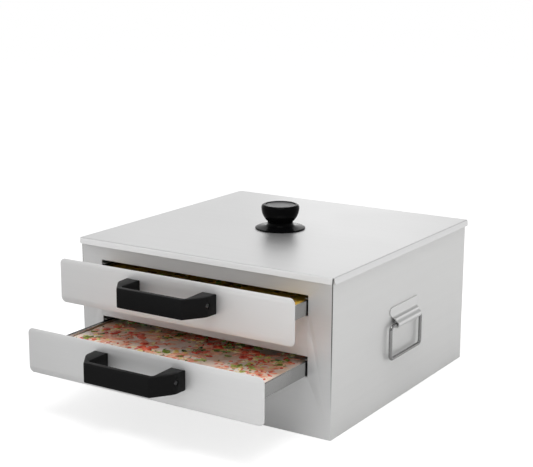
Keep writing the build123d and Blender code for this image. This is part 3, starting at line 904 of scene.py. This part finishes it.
def lid_panel():
    """The flat top and its four folded flaps as one skin with a thickness."""
    low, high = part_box("lid_panel")
    rows = lid_flap_profile(low, high)
    flat = rows[0][0]
    half = high.x - LID_LEAN - LID_NICK
    shape = bmesh.new()
    border = []
    for quarter in range(4):
        turn = Matrix.Rotation(math.radians(90 * quarter), 4, "Z")
        grid = []
        for out, height, trim in rows:
            points = [turn @ Vector((out, (half - trim) * share, height)) for share in FLAP_COLUMNS]
            grid.append([shape.verts.new(point) for point in points])
        fill_grid(shape, grid)
        corner = shape.verts.new(turn @ Vector((flat, flat, high.z)))
        border += grid[0] + [corner]
    shape.faces.new(border)
    bmesh.ops.recalc_face_normals(shape, faces=shape.faces)
    mesh = finished(shape, "lid_folded")
    if sum(face.normal.z for face in mesh.polygons) < 0:
        mesh.flip_normals()
    hole = bmesh.new()
    round_bar(hole, LID_HOLE, LID_HOLE_DEPTH, Matrix.Translation((0, 0, high.z)), 32)
    mesh = subtract(skin(mesh, LID_SHEET, LID_RIM), finished(hole, "lid_hole"))
    return put("lid_folded", mesh, LID_STEEL, "lid", ["lid_panel"], sheet=True)


print("lid:", lid_panel().name)

# %% [markdown]
# ## Drawer plates
#
# Each drawer ends in a flat plate with generous round corners, cut from 1.2 mm sheet and tumbled so
# that its rim catches a thin line of light. A bevelled flat curve gives exactly that: a filled
# outline, a thickness and a small round rim, without any boolean.

# %% Cut the drawer plates
PLATE_CORNER = 7.0 * MM
PLATE_RIM = 0.3 * MM


def drawer_plate(level):
    """A drawer's front plate, cut to its CAD node's size."""
    node = f"{level}_drawer_plate"
    low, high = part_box(node)
    outline = rounded_path(rectangle(low.x, high.x, low.z, high.z), PLATE_CORNER, steps=12)
    mesh = cut_sheet(f"{level}_plate_sheet", [outline], high.y - low.y, PLATE_RIM)
    mesh.transform(Matrix.Translation((0, (low.y + high.y) / 2, 0)) @ FACE_FRONT)
    return put(
        f"{level}_plate_sheet", mesh, PLATE_STEEL, f"{level}_drawer", [node],
        sheet=True,
    )


for level in LEVELS:
    print("plate:", drawer_plate(level).name)

# %% [markdown]
# ## Drawer frames and steaming pans
#
# The frame is a strip folded into a channel: an outer wall, a flange that runs on the rail and a
# small upturned lip that the pan rests on. The pan is drawn from thin sheet, with a rounded foot, a
# wall that leans a little and a rolled bead round its rim. Both are one section carried round a
# rectangle, so a ring of loops makes each of them with a true thickness.

# %% Fold the drawer frames
FRAME_SHEET = 1.0 * MM
FRAME_FLANGE = 12.0 * MM
FRAME_UPTURN = 4.5 * MM
FRAME_BEND = 0.9 * MM
FRAME_RIM = 0.2 * MM


def frame_section(low, high):
    """The channel's outline as (inset, height): up the outer wall, down inside, in and up the lip."""
    wall = [(FRAME_BEND, low), (FRAME_BEND * 0.3, low + FRAME_BEND * 0.3), (0, low + FRAME_BEND)]
    shoulder = high - FRAME_RIM
    rim = [(0, shoulder), (FRAME_RIM, high), (FRAME_SHEET - FRAME_RIM, high), (FRAME_SHEET, shoulder)]
    floor, top = low + FRAME_SHEET, low + FRAME_UPTURN
    lip_inner = FRAME_FLANGE - FRAME_SHEET
    lip = [(lip_inner, floor), (lip_inner, top), (FRAME_FLANGE, top), (FRAME_FLANGE, low)]
    return wall + rim + [(FRAME_SHEET, floor)] + lip


def drawer_frame(level):
    """A drawer's frame, folded to its CAD node's size."""
    node = f"{level}_drawer_frame"
    low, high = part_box(node)
    name, section = f"{level}_frame_channel", frame_section(low.z, high.z)
    mesh = folded_ring(name, (low.x, high.x), (low.y, high.y), FRAME_BEND, section, True, steps=2)
    return put(name, mesh, FRAME_STEEL, f"{level}_drawer", [node])


for level in LEVELS:
    print("frame:", drawer_frame(level).name)

# %% Draw the steaming pans
PAN_SHEET = 0.8 * MM
PAN_BEAD = 0.7 * MM
PAN_CORNER = 3.0 * MM
PAN_FOOT = 1.5 * MM


def pan_section(low, high):
    """The pan's outline as (inset, height): under the foot, up outside, over the bead, down inside."""
    outer = arc((PAN_BEAD + PAN_FOOT, low + PAN_FOOT), PAN_FOOT, 270, 180, 4)
    bead = arc((PAN_BEAD, high - PAN_BEAD), PAN_BEAD, 235, -45, 8)
    wall = PAN_BEAD + PAN_SHEET
    inner_foot = PAN_FOOT - PAN_SHEET * 0.4
    inner = arc((wall + inner_foot, low + PAN_SHEET + inner_foot), inner_foot, 180, 270, 4)
    return outer + bead + inner


def steaming_pan(level):
    """A drawer's lift-out pan, drawn to its CAD node's size."""
    node = f"{level}_steaming_pan"
    low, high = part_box(node)
    section = pan_section(low.z, high.z)
    mesh = folded_ring(f"{level}_pan_drawn", (low.x, high.x), (low.y, high.y), PAN_CORNER, section, False)
    return put(f"{level}_pan_drawn", mesh, PAN_STEEL, f"{level}_drawer", [node])


for level in LEVELS:
    print("pan:", steaming_pan(level).name)

# %% [markdown]
# ## Drawer handles
#
# The handle is a moulded bar with two legs that spread as they run back to the plate. Seen from
# above it is one outline, so it is cut as a thick sheet with a soft rim all round. A shallow round
# sink in the outer face of each leg holds the screw. It is cut with a boolean, because the sink
# meets a rounded side, and that is hard to draw by hand.

# %% Outline of the handle
HANDLE_FOOT_INNER = 46.0 * MM
HANDLE_GRIP = 7.8 * MM
HANDLE_BEND_BACK = 18.0 * MM
HANDLE_BEND_INSET = 0.5 * MM
HANDLE_FRONT_HALF = 46.8 * MM
HANDLE_RIM = 1.3 * MM
FOOT_ROUND = 0.4 * MM
LEG_ROUND = 16.0 * MM
GRIP_ROUND = 3.0 * MM
SCREW_BACK = 16.0 * MM
SCREW_SINK = 2.6 * MM
SINK_CLEAR = 0.4 * MM
SINK_PAST = 1.0 * MM
SCREW_HEAD = 3.3 * MM
SCREW_HEAD_HEIGHT = 1.6 * MM


def handle_outline(half, reach):
    """The handle seen from above, with the plate's face at zero and its front towards -Y."""
    bend_x = half - HANDLE_BEND_INSET
    right = [(HANDLE_FOOT_INNER, 0), (half, 0), (bend_x, -HANDLE_BEND_BACK), (HANDLE_FRONT_HALF, -reach)]
    left = [(-x, y) for x, y in reversed(right)]
    inner_y = HANDLE_GRIP - reach
    corners = right + left + [(-HANDLE_FOOT_INNER, inner_y), (HANDLE_FOOT_INNER, inner_y)]
    radii = [FOOT_ROUND, FOOT_ROUND, LEG_ROUND, GRIP_ROUND]
    return rounded_path(corners, radii + radii[::-1] + [GRIP_ROUND, GRIP_ROUND], steps=8)


print("handle outline ready")

# %% Mould the handles
def screw_sinks(face_y, screw_z, half):
    """A short round cutter for the sink in each leg."""
    shape = bmesh.new()
    for side in (-1, 1):
        middle = Vector((side * (half + SINK_PAST - SCREW_SINK / 2), face_y - SCREW_BACK, screw_z))
        place = Matrix.Translation(middle) @ Matrix.Rotation(math.radians(90), 4, "Y")
        round_bar(shape, SCREW_HEAD + SINK_CLEAR, SCREW_SINK + 2 * SINK_PAST, place, 40)
    return finished(shape, "screw_sinks")


def drawer_handle(level):
    """A drawer's moulded handle."""
    node = f"{level}_handle"
    low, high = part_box(node)
    outline = handle_outline(high.x, high.y - low.y)
    mesh = cut_sheet(f"{level}_handle_moulding", [outline], high.z - low.z, HANDLE_RIM)
    mesh.transform(Matrix.Translation((0, high.y, (low.z + high.z) / 2)))
    screw_low, screw_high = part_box(f"{level}_handle_screws")
    screw_z = (screw_low.z + screw_high.z) / 2
    mesh = subtract(mesh, screw_sinks(high.y, screw_z, high.x))
    return put(f"{level}_handle_moulding", mesh, HANDLE_BLACK, f"{level}_drawer", [node])


for level in LEVELS:
    print("handle:", drawer_handle(level).name)

# %% [markdown]
# ## Handle screws
#
# A small pan-head screw sits at the bottom of each sink. Its steel is painted dark, as painted
# shade for the sink it sits in, so it shows as a dark dot with a glint. The head is turned from a
# low dome profile, and its cross recess is cut with two thin bars.

# %% Turn the handle screws
SCREW_TURN = math.radians(20)


def pan_head(radius, height):
    """Profile of a low domed screw head, from its seat to its crown."""
    dome = arc((radius - height * 0.7, height * 0.3), height * 0.7, 0, 80, 5)
    return [(0, 0), (radius, 0)] + dome + [(radius * 0.35, height), (0, height)]


def screw_cross(radius, height):
    """Two crossed bars that cut the recess, lying across the crown."""
    shape = bmesh.new()
    for long_way, short_way in ((1.7, 0.6), (0.6, 1.7)):
        size = Matrix.Diagonal((radius * long_way, radius * short_way, height, 1))
        bmesh.ops.create_cube(shape, size=1.0, matrix=Matrix.Translation((0, 0, height)) @ size)
    return finished(shape, "screw_cross")


def handle_screws(level):
    """The two screws of a handle as one mesh."""
    node = f"{level}_handle_screws"
    low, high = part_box(node)
    seat = high.x - SCREW_HEAD_HEIGHT
    at_y, at_z = (low.y + high.y) / 2, (low.z + high.z) / 2
    both = bmesh.new()
    for side in (-1, 1):
        head = turned("head", pan_head(SCREW_HEAD, SCREW_HEAD_HEIGHT), (0, 0, 0), steps=40)
        head = subtract(head, screw_cross(SCREW_HEAD, SCREW_HEAD_HEIGHT))
        turn = Matrix.Rotation(math.radians(90 * side), 4, "Y") @ Matrix.Rotation(SCREW_TURN, 4, "Z")
        head.transform(Matrix.Translation((side * seat, at_y, at_z)) @ turn)
        both.from_mesh(head)
    name = f"{level}_screw_heads"
    return put(name, finished(both, name), SCREW_PAINTED_SHADE, f"{level}_drawer", [node])


for level in LEVELS:
    print("screws:", handle_screws(level).name)

# %% [markdown]
# ## Lid knob
#
# The knob is one moulding: a thin wide flange that spreads the load on the lid, a waist and a cup
# that the fingers close round. Its top has a recess with a disc pressed into it. A turned profile
# is the natural way to make it, and the profile's corners are small arcs so that they glint.

# %% Turn the knob
KNOB_HUB_TOP = (19.5 * MM, 3.8 * MM)
KNOB_WAIST_LOW = (16.8 * MM, 8.0 * MM)
KNOB_WAIST_HIGH = (17.5 * MM, 10.2 * MM)
KNOB_BULB = (25.2 * MM, 28.8 * MM)
KNOB_CAP = 19.7 * MM
KNOB_RECESS = 2.2 * MM


def bowed(first, last, bow, steps):
    """Points between two profile points, pushed sideways by bow at the middle."""
    first, last = Vector(first), Vector(last)
    across = Vector(((last - first).y, -(last - first).x)).normalized()
    shares = [step / steps for step in range(1, steps + 1)]
    return [tuple(first.lerp(last, share) + across * bow * 4 * share * (1 - share)) for share in shares]


def knob_profile(flange, height):
    """The knob from the middle of its foot, out over the flange, up the cup and into the recess."""
    points = [(0, 0), (flange - 0.7 * MM, 0), (flange - 0.15 * MM, 0.35 * MM), (flange, 0.9 * MM)]
    points += [(flange - 0.15 * MM, 1.4 * MM), (flange - 0.8 * MM, 1.7 * MM)]
    points += bowed(points[-1], KNOB_HUB_TOP, -0.25 * MM, 6)
    points += bowed(KNOB_HUB_TOP, KNOB_WAIST_LOW, -0.7 * MM, 5)
    points += bowed(KNOB_WAIST_LOW, KNOB_WAIST_HIGH, -0.15 * MM, 3)
    points += bowed(KNOB_WAIST_HIGH, KNOB_BULB, 2.2 * MM, 14)
    points += bowed(KNOB_BULB, (KNOB_BULB[0] - 2.4 * MM, height - 0.2 * MM), 0.75 * MM, 6)
    points += [(KNOB_CAP + 0.9 * MM, height), (KNOB_CAP + 0.3 * MM, height - 0.25 * MM)]
    recess = height - KNOB_RECESS
    return points + [(KNOB_CAP, height - 0.8 * MM), (KNOB_CAP, recess), (0, recess)]


def lid_knob():
    """The knob, turned to its CAD node's size."""
    low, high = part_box("lid_knob")
    profile = knob_profile(high.x, high.z - low.z)
    mesh = turned("knob_moulding", profile, (0, 0, low.z))
    return put("knob_moulding", mesh, KNOB_BLACK, "lid", ["lid_knob"], sharp=40)


def knob_cap():
    """The disc in the knob's recess, slightly dished, with a bare face."""
    low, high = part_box("knob_cap")
    thick, rim = high.z - low.z, high.x
    edge = [(0, 0), (rim, 0), (rim, thick - 0.4 * MM), (rim - 0.15 * MM, thick - 0.1 * MM)]
    ring = [(rim - 0.5 * MM, thick), (rim - 1.6 * MM, thick), (rim - 2.2 * MM, thick - 0.3 * MM)]
    dish = [(rim * 0.5, thick - 0.4 * MM), (0, thick - 0.45 * MM)]
    mesh = turned("knob_disc", edge + ring + dish, (0, 0, low.z))
    return put("knob_disc", mesh, CAP_GREY, "lid", ["knob_cap"], sharp=30)


print("knob:", lid_knob().name, "and", knob_cap().name)

# %% [markdown]
# ## Side brackets and bails
#
# The bracket is a strip of sheet: flat where it is welded to the wall, then pressed outwards over a
# bead, then curled round the wire to make a knuckle. Its flanks draw in below the flat part. It is
# built as the press works, as a profile in side view that gets a width at each point, so a grid of
# rows and columns makes it, and a Solidify modifier gives it the sheet's thickness.

# %% Press the brackets
BRACKET_SHEET = 1.6 * MM
BRACKET_HALF = 40.0 * MM
BRACKET_CORNER = 5.0 * MM
BRACKET_PLATE = 12.0 * MM
BEAD_RADIUS = 1.3 * MM
KNUCKLE_HALF = 32.0 * MM
KNUCKLE_RADIUS = 4.3 * MM
KNUCKLE_AT = Vector((190.7 * MM, 103.6 * MM))
FLAT_ROWS = (0, 0.5, 1.2, 2.2, 3.5, 5, 7, 9, 10.5)
CROWN_TURN = math.radians(68)
BEAD_SQUASH = 0.6
NECK_START = 7.5 * MM
NECK_RUN = 7.5 * MM
BRACKET_SKIN = 0.98
BRACKET_RIM = 0.25 * MM
NEAR_WALL = 187.0 * MM


def bracket_profile(low, high):
    """Side view of the pressed sheet's outer face as (x, z), from its top edge down and round."""
    face_x = low.x + BRACKET_SHEET
    foot_z = high.z - BRACKET_PLATE
    flat = [Vector((face_x, high.z - drop * MM)) for drop in FLAT_ROWS]
    crown = KNUCKLE_AT + KNUCKLE_RADIUS * Vector((math.cos(CROWN_TURN), math.sin(CROWN_TURN)))
    foot = Vector((face_x, foot_z + 0.6 * MM))
    run = crown - foot
    ahead = run.normalized()
    across = Vector((-run.y, run.x)).normalized()
    across = across if across.x > 0 else -across
    bead = []
    for angle in (160, 135, 110, 90, 70, 45, 20):
        turn = math.radians(angle)
        shift = ahead * math.cos(turn) + across * BEAD_SQUASH * math.sin(turn)
        bead.append(foot + run * 0.5 + shift * BEAD_RADIUS)
    bead.sort(key=lambda at: (at - foot).length)
    curl = [Vector(at) for at in arc(KNUCKLE_AT, KNUCKLE_RADIUS, 62, -172, 22)]
    return flat + [foot, foot + run * 0.14] + bead + [foot + run * 0.86] + curl


def bracket_width(height, top):
    """Half the sheet's width at a height: round corners above, drawn in below the flat part."""
    below = top - height
    if below < BRACKET_CORNER:
        return BRACKET_HALF - corner_trim(BRACKET_CORNER, below)
    share = min(max((below - NECK_START) / NECK_RUN, 0), 1)
    smooth = share * share * (3 - 2 * share)
    return BRACKET_HALF + (KNUCKLE_HALF - BRACKET_HALF) * smooth


def handle_bracket(side, hand):
    """A side bracket: rows down the profile, columns along the wall."""
    node = f"{hand}_handle_bracket"
    low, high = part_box("right_handle_bracket")
    profile = bracket_profile(low, high)
    columns = [math.sin(math.pi / 2 * step / 12) for step in range(-12, 13)]
    shape = bmesh.new()
    rows = []
    for at in profile:
        half = bracket_width(at.y, high.z)
        rows.append([shape.verts.new((side * at.x, half * share, at.y)) for share in columns])
    fill_grid(shape, rows)
    bmesh.ops.recalc_face_normals(shape, faces=shape.faces)
    mesh = face_outwards(finished(shape, f"{hand}_bracket_pressing"), side)
    return skin(mesh, BRACKET_SHEET * BRACKET_SKIN, BRACKET_RIM), node


def face_outwards(mesh, side):
    """Turns the skin's normals away from the wall, so that its thickness grows towards it."""
    outward = sum((p.normal.x * side for p in mesh.polygons if abs(p.center.x) < NEAR_WALL), 0.0)
    if outward < 0:
        mesh.flip_normals()
    return mesh


SIDES = ((-1, "left"), (1, "right"))
for side, hand in SIDES:
    pressing, node_name = handle_bracket(side, hand)
    name = f"{hand}_bracket_pressing"
    put(name, pressing, BRACKET_STEEL, "cabinet", [node_name], sharp=50)
    print("bracket:", hand, len(pressing.polygons), "faces")

# %% [markdown]
# The bail is bright wire, bent to a flat loop whose two ends turn in and meet inside the knuckle. A
# curve with a round bevel is wire by nature, so it is made as one and then turned into a mesh.

# %% Bend the bails
WIRE_RADIUS = 2.2 * MM
WIRE_BEND = 5.0 * MM
WIRE_END_GAP = 2.0 * MM


def wire(name, path, radius):
    """Round wire along a path, with closed ends."""
    curve = bpy.data.curves.new(name, "CURVE")
    curve.dimensions = "3D"
    curve.bevel_depth = radius
    curve.bevel_resolution = 6
    curve.use_fill_caps = True
    spline = curve.splines.new("POLY")
    spline.points.add(len(path) - 1)
    for point, at in zip(spline.points, path):
        point.co = (*at, 1)
    holder = bpy.data.objects.new(name, curve)
    mesh = bpy.data.meshes.new_from_object(holder)
    bpy.data.objects.remove(holder)
    return mesh


def bail(hand):
    """The wire loop, inside its CAD node's box."""
    node = f"{hand}_bail"
    low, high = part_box(node)
    near, far = low.y + WIRE_RADIUS, high.y - WIRE_RADIUS
    bottom, axle = low.z + WIRE_RADIUS, high.z - WIRE_RADIUS
    end = WIRE_END_GAP / 2
    corners = [(-end, axle), (near, axle), (near, bottom), (far, bottom), (far, axle), (end, axle)]
    x = (low.x + high.x) / 2
    path = rounded_path([(x, y, z) for y, z in corners], WIRE_BEND, closed=False, steps=10)
    mesh = wire(f"{hand}_bail_wire", path, WIRE_RADIUS)
    return put(f"{hand}_bail_wire", mesh, WIRE_STEEL, node, [node], sharp=60)


for _, hand in SIDES:
    print("bail:", bail(hand).name)

# %% [markdown]
# ## Rice sheets
#
# The batter sets to a soft, moist, slightly see-through sheet that fills the pan and swells
# unevenly. It is a fine grid whose height comes from layered noise and which rounds off at its rim.
# The finish lets a little light into the surface and has a wet film on top. The lower sheet is
# cream with pink and brown stains from its filling, with painted shade that darkens it towards the
# box. The upper one is golden with sauce, and a dark pool of painted shade lies in the front of the pan.

# %% Moist rice finish
SHADE_POOL_SHORE = (1.05, 1.35)
UPPER_SHADE_POOL = ((-0.02, -0.22, 0), (0.15, 0.05, 1))
BACK_SHADE_SPAN = (-0.27, -0.18)


def painted_shade_pool(tree, place, middle, reach):
    """A mask for painted shade: 1 in an oval pool with a ragged shore and 0 outside it."""
    share = vector_math(tree, "DIVIDE", vector_math(tree, "SUBTRACT", place, middle), reach)
    away = length_of(tree, vector_math(tree, "MULTIPLY", share, (1, 1, 0)))
    shore = cloud_noise(tree, place, 45.0, 3.0, 0.6)
    ragged = math_node(tree, "MULTIPLY_ADD", shore, 0.5, away)
    return map_range(tree, ragged, *SHADE_POOL_SHORE, 1.0, 0.0)


def moist_rice(name, plain, stained, deep, stain_cover, wet, back_shade, shade_pool=None):
    """Set batter: a soft body, stains from the filling in two depths, a wet film and painted shade."""
    material, tree, shader = shader_tree(name)
    shader.inputs["Subsurface Weight"].default_value = 0.2
    shader.inputs["Subsurface Scale"].default_value = 0.003
    shader.inputs["Coat Roughness"].default_value = 0.12
    shader.inputs["Coat Weight"].default_value = wet
    place = surface_place(tree)
    spread = cloud_noise(tree, place, 26.0, 6.0, 0.62, 1.0)
    stain = map_range(tree, spread, 0.66 - stain_cover, 0.84 - stain_cover, 0.0, 1.0)
    body = mix_colour(tree, stain, plain + (1,), stained + (1,))
    spill = cloud_noise(tree, place, 60.0, 4.0, 0.6, 1.4)
    blot = map_range(tree, spill, 0.57, 0.71, 0.0, 0.8)
    body = mix_colour(tree, blot, body, deep + (1,))
    # Painted shade: a dark pool in the front of the upper pan, where the box shades it.
    if shade_pool:
        body = mix_colour(tree, painted_shade_pool(tree, place, *shade_pool), body, deep + (1,))
    # Painted shade: the batter darkens towards the back, where the box shades it.
    depth = add_node(tree, "ShaderNodeSeparateXYZ", Vector=place).outputs["Y"]
    back_shaded = map_range(tree, depth, *BACK_SHADE_SPAN, 0.0, back_shade)
    body = mix_colour(tree, back_shaded, body, deep + (1,))
    fleck = cloud_noise(tree, place, 230.0, 3.0, 0.7)
    speck = map_range(tree, fleck, 0.5, 0.72, 0.0, 0.25)
    tree.links.new(mix_colour(tree, speck, body, stained + (1,)), shader.inputs["Base Color"])
    cloud = use_group(tree, HANDLING_HAZE, Size=0.02, Amount=1.2)
    tree.links.new(map_range(tree, cloud.outputs["Haze"], 0.2, 0.8, 0.22, 0.46), shader.inputs["Roughness"])
    add_bump(tree, shader, 0.5, 0.5 * MM, fleck)
    return material


LOWER_RICE = moist_rice(
    "rice_white", (0.92, 0.84, 0.77), (0.82, 0.57, 0.42), (0.58, 0.28, 0.15),
    stain_cover=0.23, wet=0.25, back_shade=0.45,
)
UPPER_RICE = moist_rice(
    "rice_golden", (0.56, 0.35, 0.05), (0.36, 0.20, 0.03), (0.035, 0.020, 0.006),
    stain_cover=0.14, wet=0.35, back_shade=0.0, shade_pool=UPPER_SHADE_POOL,
)
print("rice:", LOWER_RICE.name, UPPER_RICE.name)

# %% Lay the rice sheets
RICE_STEP = 2.8 * MM
RICE_RISE = 1.9 * MM
RICE_SWELL = 1.0 * MM
RICE_RIM = 3.0 * MM
RICE_RIM_FALL = 1.0 * MM
RICE_CORNER = 1.1 * MM
RICE_WAVES = 38.0


def rice_height(at, low, high):
    """Height of a rice sheet's top at a point, swelling with layered noise and falling at its rim."""
    swell = noise.fractal(Vector((at.x, at.y, low.z)) * RICE_WAVES, 0.8, 2.1, 4)
    rim = min(at.x - low.x, high.x - at.x, at.y - low.y, high.y - at.y)
    share = min(max(rim, 0) / RICE_RIM, 1.0)
    fall = (1 - math.sqrt(max(1 - (1 - share) ** 2, 0))) * RICE_RIM_FALL
    return high.z + RICE_RISE - RICE_SWELL + max(min(swell, 1), -1) * RICE_SWELL - fall


def rice_sheet(level, material):
    """A rice sheet as a closed grid on its pan's floor."""
    node = f"{level}_rice_sheet"
    low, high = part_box(node)
    size = high - low
    shape = bmesh.new()
    steps = [round(length / RICE_STEP) for length in (size.x, size.y)]
    bmesh.ops.create_grid(shape, x_segments=steps[0], y_segments=steps[1], size=0.5)
    inner_low = low + Vector((1, 1, 0)) * RICE_CORNER
    inner_high = high - Vector((1, 1, 0)) * RICE_CORNER
    for vert in shape.verts:
        at = Vector((low.x + (vert.co.x + 0.5) * size.x, low.y + (vert.co.y + 0.5) * size.y, 0))
        inner_x = min(max(at.x, inner_low.x), inner_high.x)
        inner = Vector((inner_x, min(max(at.y, inner_low.y), inner_high.y), 0))
        if (at - inner).length > RICE_CORNER:
            at = inner + (at - inner).normalized() * RICE_CORNER
        at.z = rice_height(at, low, high)
        vert.co = at
    border = [edge for edge in shape.edges if edge.is_boundary]
    skirt = bmesh.ops.extrude_edge_only(shape, edges=border)["geom"]
    for vert in [part for part in skirt if isinstance(part, bmesh.types.BMVert)]:
        vert.co.z = low.z
    bmesh.ops.holes_fill(shape, edges=[edge for edge in shape.edges if edge.is_boundary], sides=0)
    bmesh.ops.recalc_face_normals(shape, faces=shape.faces)
    name = f"{level}_rice_steamed"
    return put(name, finished(shape, name), material, f"{level}_drawer", [node], sharp=70)


for level, rice in zip(LEVELS, (UPPER_RICE, LOWER_RICE)):
    print("rice sheet:", rice_sheet(level, rice).name)

# %% [markdown]
# ## Filling
#
# Chunks and scraps of red meat, cut scallion and crumbs of egg are dropped on the batter in pinches
# and set in it. The pinches lie on a loose grid, as a hand fills a pan row by row: some are mostly
# meat, some mostly scallion and egg, and most morsels lie the way the hand swept them. All of it is
# real geometry, sunk part way into the sheet, because a printed pattern looks flat at the low angle
# from which a drawer is seen.

# %% Finishes of the filling
def food_finish(name, colour, other, scale, roughness, wet=0.3):
    """A moist morsel whose colour drifts between two tones."""
    material, tree, shader = shader_tree(name)
    shader.inputs["Subsurface Weight"].default_value = 0.12
    shader.inputs["Subsurface Scale"].default_value = 0.0015
    shader.inputs["Coat Weight"].default_value = wet
    shader.inputs["Coat Roughness"].default_value = 0.1
    shader.inputs["Roughness"].default_value = roughness
    drift = cloud_noise(tree, surface_place(tree), scale, 4.0, 0.65)
    share = map_range(tree, drift, 0.38, 0.62, 0.0, 1.0)
    tree.links.new(mix_colour(tree, share, colour + (1,), other + (1,)), shader.inputs["Base Color"])
    add_bump(tree, shader, 0.4, 0.3 * MM, drift)
    return material


MEAT_RED = food_finish("meat_red", (0.48, 0.025, 0.01), (0.74, 0.13, 0.055), 160.0, 0.36)
MEAT_PALE = food_finish("meat_pale", (0.72, 0.20, 0.10), (0.86, 0.50, 0.34), 120.0, 0.40)
SCALLION_GREEN = food_finish("scallion_green", (0.018, 0.05, 0.004), (0.20, 0.28, 0.03), 150.0, 0.34)
SCALLION_LIGHT = food_finish("scallion_light", (0.22, 0.30, 0.04), (0.60, 0.62, 0.20), 120.0, 0.34)
EGG_YELLOW = food_finish("egg_yellow", (0.70, 0.46, 0.08), (0.88, 0.80, 0.48), 110.0, 0.40)
EGG_AMBER = food_finish("egg_amber", (0.34, 0.17, 0.02), (0.60, 0.36, 0.06), 110.0, 0.36)
SAUCE_DARK = food_finish("sauce_dark", (0.03, 0.013, 0.004), (0.12, 0.05, 0.010), 90.0, 0.30)
print("filling finishes:", len([m for m in bpy.data.materials if m.users == 0]), "ready")

# %% Shapes of the filling
# Vector noise starts from the clock unless it is given a seed.
MORSEL_SEED = 5
noise.seed_set(MORSEL_SEED)

LUMP_GRAIN = 330
LUMP_PUSH = 0.45
RING_STEPS = 12
RING_WALL = 0.45
RING_LEAN = 0.4
RING_TIP = 0.3


def lump(shape, at, heading, size, chance):
    """A rough morsel: a squashed ball of size (long, wide, thick) that noise pushes in and out."""
    place = Matrix.Translation(at) @ Matrix.Rotation(heading, 4, "Z") @ Matrix.Diagonal((*size, 1))
    made = bmesh.ops.create_icosphere(shape, subdivisions=2, radius=0.5, matrix=place)
    offset = Vector((chance.uniform(0, 90), chance.uniform(0, 90), chance.uniform(0, 90)))
    for vert in made["verts"]:
        vert.co += noise.noise_vector(vert.co * LUMP_GRAIN + offset) * size[2] * LUMP_PUSH


def cut_ring(shape, at, heading, size, chance):
    """A slice of scallion of size (long, wide, thick): an oval tube that leans a little."""
    lean = Matrix.Rotation(chance.uniform(-RING_LEAN, RING_LEAN), 4, "X")
    lean = lean @ Matrix.Rotation(chance.uniform(-RING_TIP, RING_TIP), 4, "Y")
    place = Matrix.Translation(at) @ Matrix.Rotation(heading, 4, "Z") @ lean
    long_half, wide_half, thick = size[0] / 2, size[1] / 2, size[2]
    wall = wide_half * RING_WALL
    rings = []
    for inset, level in ((0, -0.5), (0, 0.5), (wall, 0.5), (wall, -0.5)):
        ring = []
        for step in range(RING_STEPS):
            turn = 2 * math.pi * step / RING_STEPS
            across = (wide_half - inset) * math.sin(turn)
            corner = Vector(((long_half - inset) * math.cos(turn), across, level * thick))
            ring.append(shape.verts.new(place @ corner))
        rings.append(ring)
    for lower, upper in zip(rings, rings[1:] + rings[:1]):
        join_loops(shape, lower, upper)


print("filling shapes ready")

# %% Strew the filling
PINCH_GAP = 42.0 * MM
RIM_CLEAR = 5.0 * MM
LAY = (0.6, 0.45)
SWEEP = 1.3
RAISED = 0.12
FILLING_TOP = 3.0 * MM


def pinches(low, high, chance):
    """Middles of the pinches, on a loose grid over the pan."""
    columns, rows = round((high.x - low.x) / PINCH_GAP), round((high.y - low.y) / PINCH_GAP)
    middles = []
    for row in range(rows):
        for column in range(columns):
            x = low.x + (column + 0.5 + chance.uniform(-0.4, 0.4)) * (high.x - low.x) / columns
            y = low.y + (row + 0.5 + chance.uniform(-0.4, 0.4)) * (high.y - low.y) / rows
            middles.append(Vector((x, y, 0)))
    return middles


def strew(level, kind, draw, material, seed, each, spread, sizes, share=1.0):
    """Drops morsels round the pinches as one piece.

    Sizes are (low, high) in millimetres for length, width and thickness, and the spread is in
    millimetres too. The share is that of the pinches that have any.
    """
    low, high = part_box(f"{level}_rice_sheet")
    places = random.Random(level + kind[:4])
    chance = random.Random(seed)
    shape = bmesh.new()
    for middle in pinches(low, high, places):
        if chance.random() > share:
            continue
        for _ in range(each):
            at = middle + Vector((chance.gauss(0, spread), chance.gauss(0, spread * SWEEP), 0)) * MM
            size = [chance.uniform(*span) * MM for span in sizes]
            clear = RIM_CLEAR + size[0] * 0.3
            if low.x + clear < at.x < high.x - clear and low.y + clear < at.y < high.y - clear:
                on_top = rice_height(at, low, high) + size[2] * RAISED
                at.z = min(on_top, high.z + FILLING_TOP - size[2] * 0.5)
                draw(shape, at, chance.gauss(*LAY), size, chance)
    bmesh.ops.recalc_face_normals(shape, faces=shape.faces)
    name = f"{level}_{kind}"
    return put(name, finished(shape, name), material, f"{level}_drawer", sharp=60)


# Pan, kind, shape, finish, seed, number in each pinch, spread, sizes and share of the pinches.
FILLING = (
    ("lower", "meat_chunks", lump, MEAT_RED, 11, 6, 6, ((8, 15), (5, 9), (2.4, 3.6)), 0.55),
    ("lower", "meat_scraps", lump, MEAT_RED, 12, 14, 12, ((2, 8), (1.4, 3), (1.2, 2.0)), 0.7),
    ("lower", "meat_pale_shreds", lump, MEAT_PALE, 13, 12, 14, ((8, 24), (3, 7), (1.0, 1.8))),
    ("lower", "scallion_slices", cut_ring, SCALLION_GREEN, 14, 5, 8, ((6, 15), (3, 4.6), (1.6, 2.6)), 0.5),
    ("lower", "scallion_pale_slices", cut_ring, SCALLION_LIGHT, 15, 4, 8, ((5, 12), (3, 5), (1.4, 2.4)), 0.5),
    ("lower", "scallion_bits", lump, SCALLION_GREEN, 16, 6, 15, ((1.8, 5), (1.4, 3), (1.0, 1.8)), 0.8),
    ("lower", "egg_crumbs", lump, EGG_YELLOW, 17, 7, 10, ((4, 10), (3, 6), (1.2, 2.4)), 0.5),
    ("upper", "dark_shreds", lump, SAUCE_DARK, 21, 4, 14, ((4, 14), (2, 5), (1.2, 2.2))),
    ("upper", "scallion_slices", cut_ring, SCALLION_GREEN, 22, 2, 14, ((4, 10), (2.6, 4), (1.4, 2.2)), 0.4),
    ("upper", "amber_crumbs", lump, EGG_AMBER, 23, 4, 15, ((3, 8), (2, 4.5), (1.2, 2.0))),
)
filling = [strew(*row) for row in FILLING]
print("filling:", sum(len(piece.data.polygons) for piece in filling), "faces")
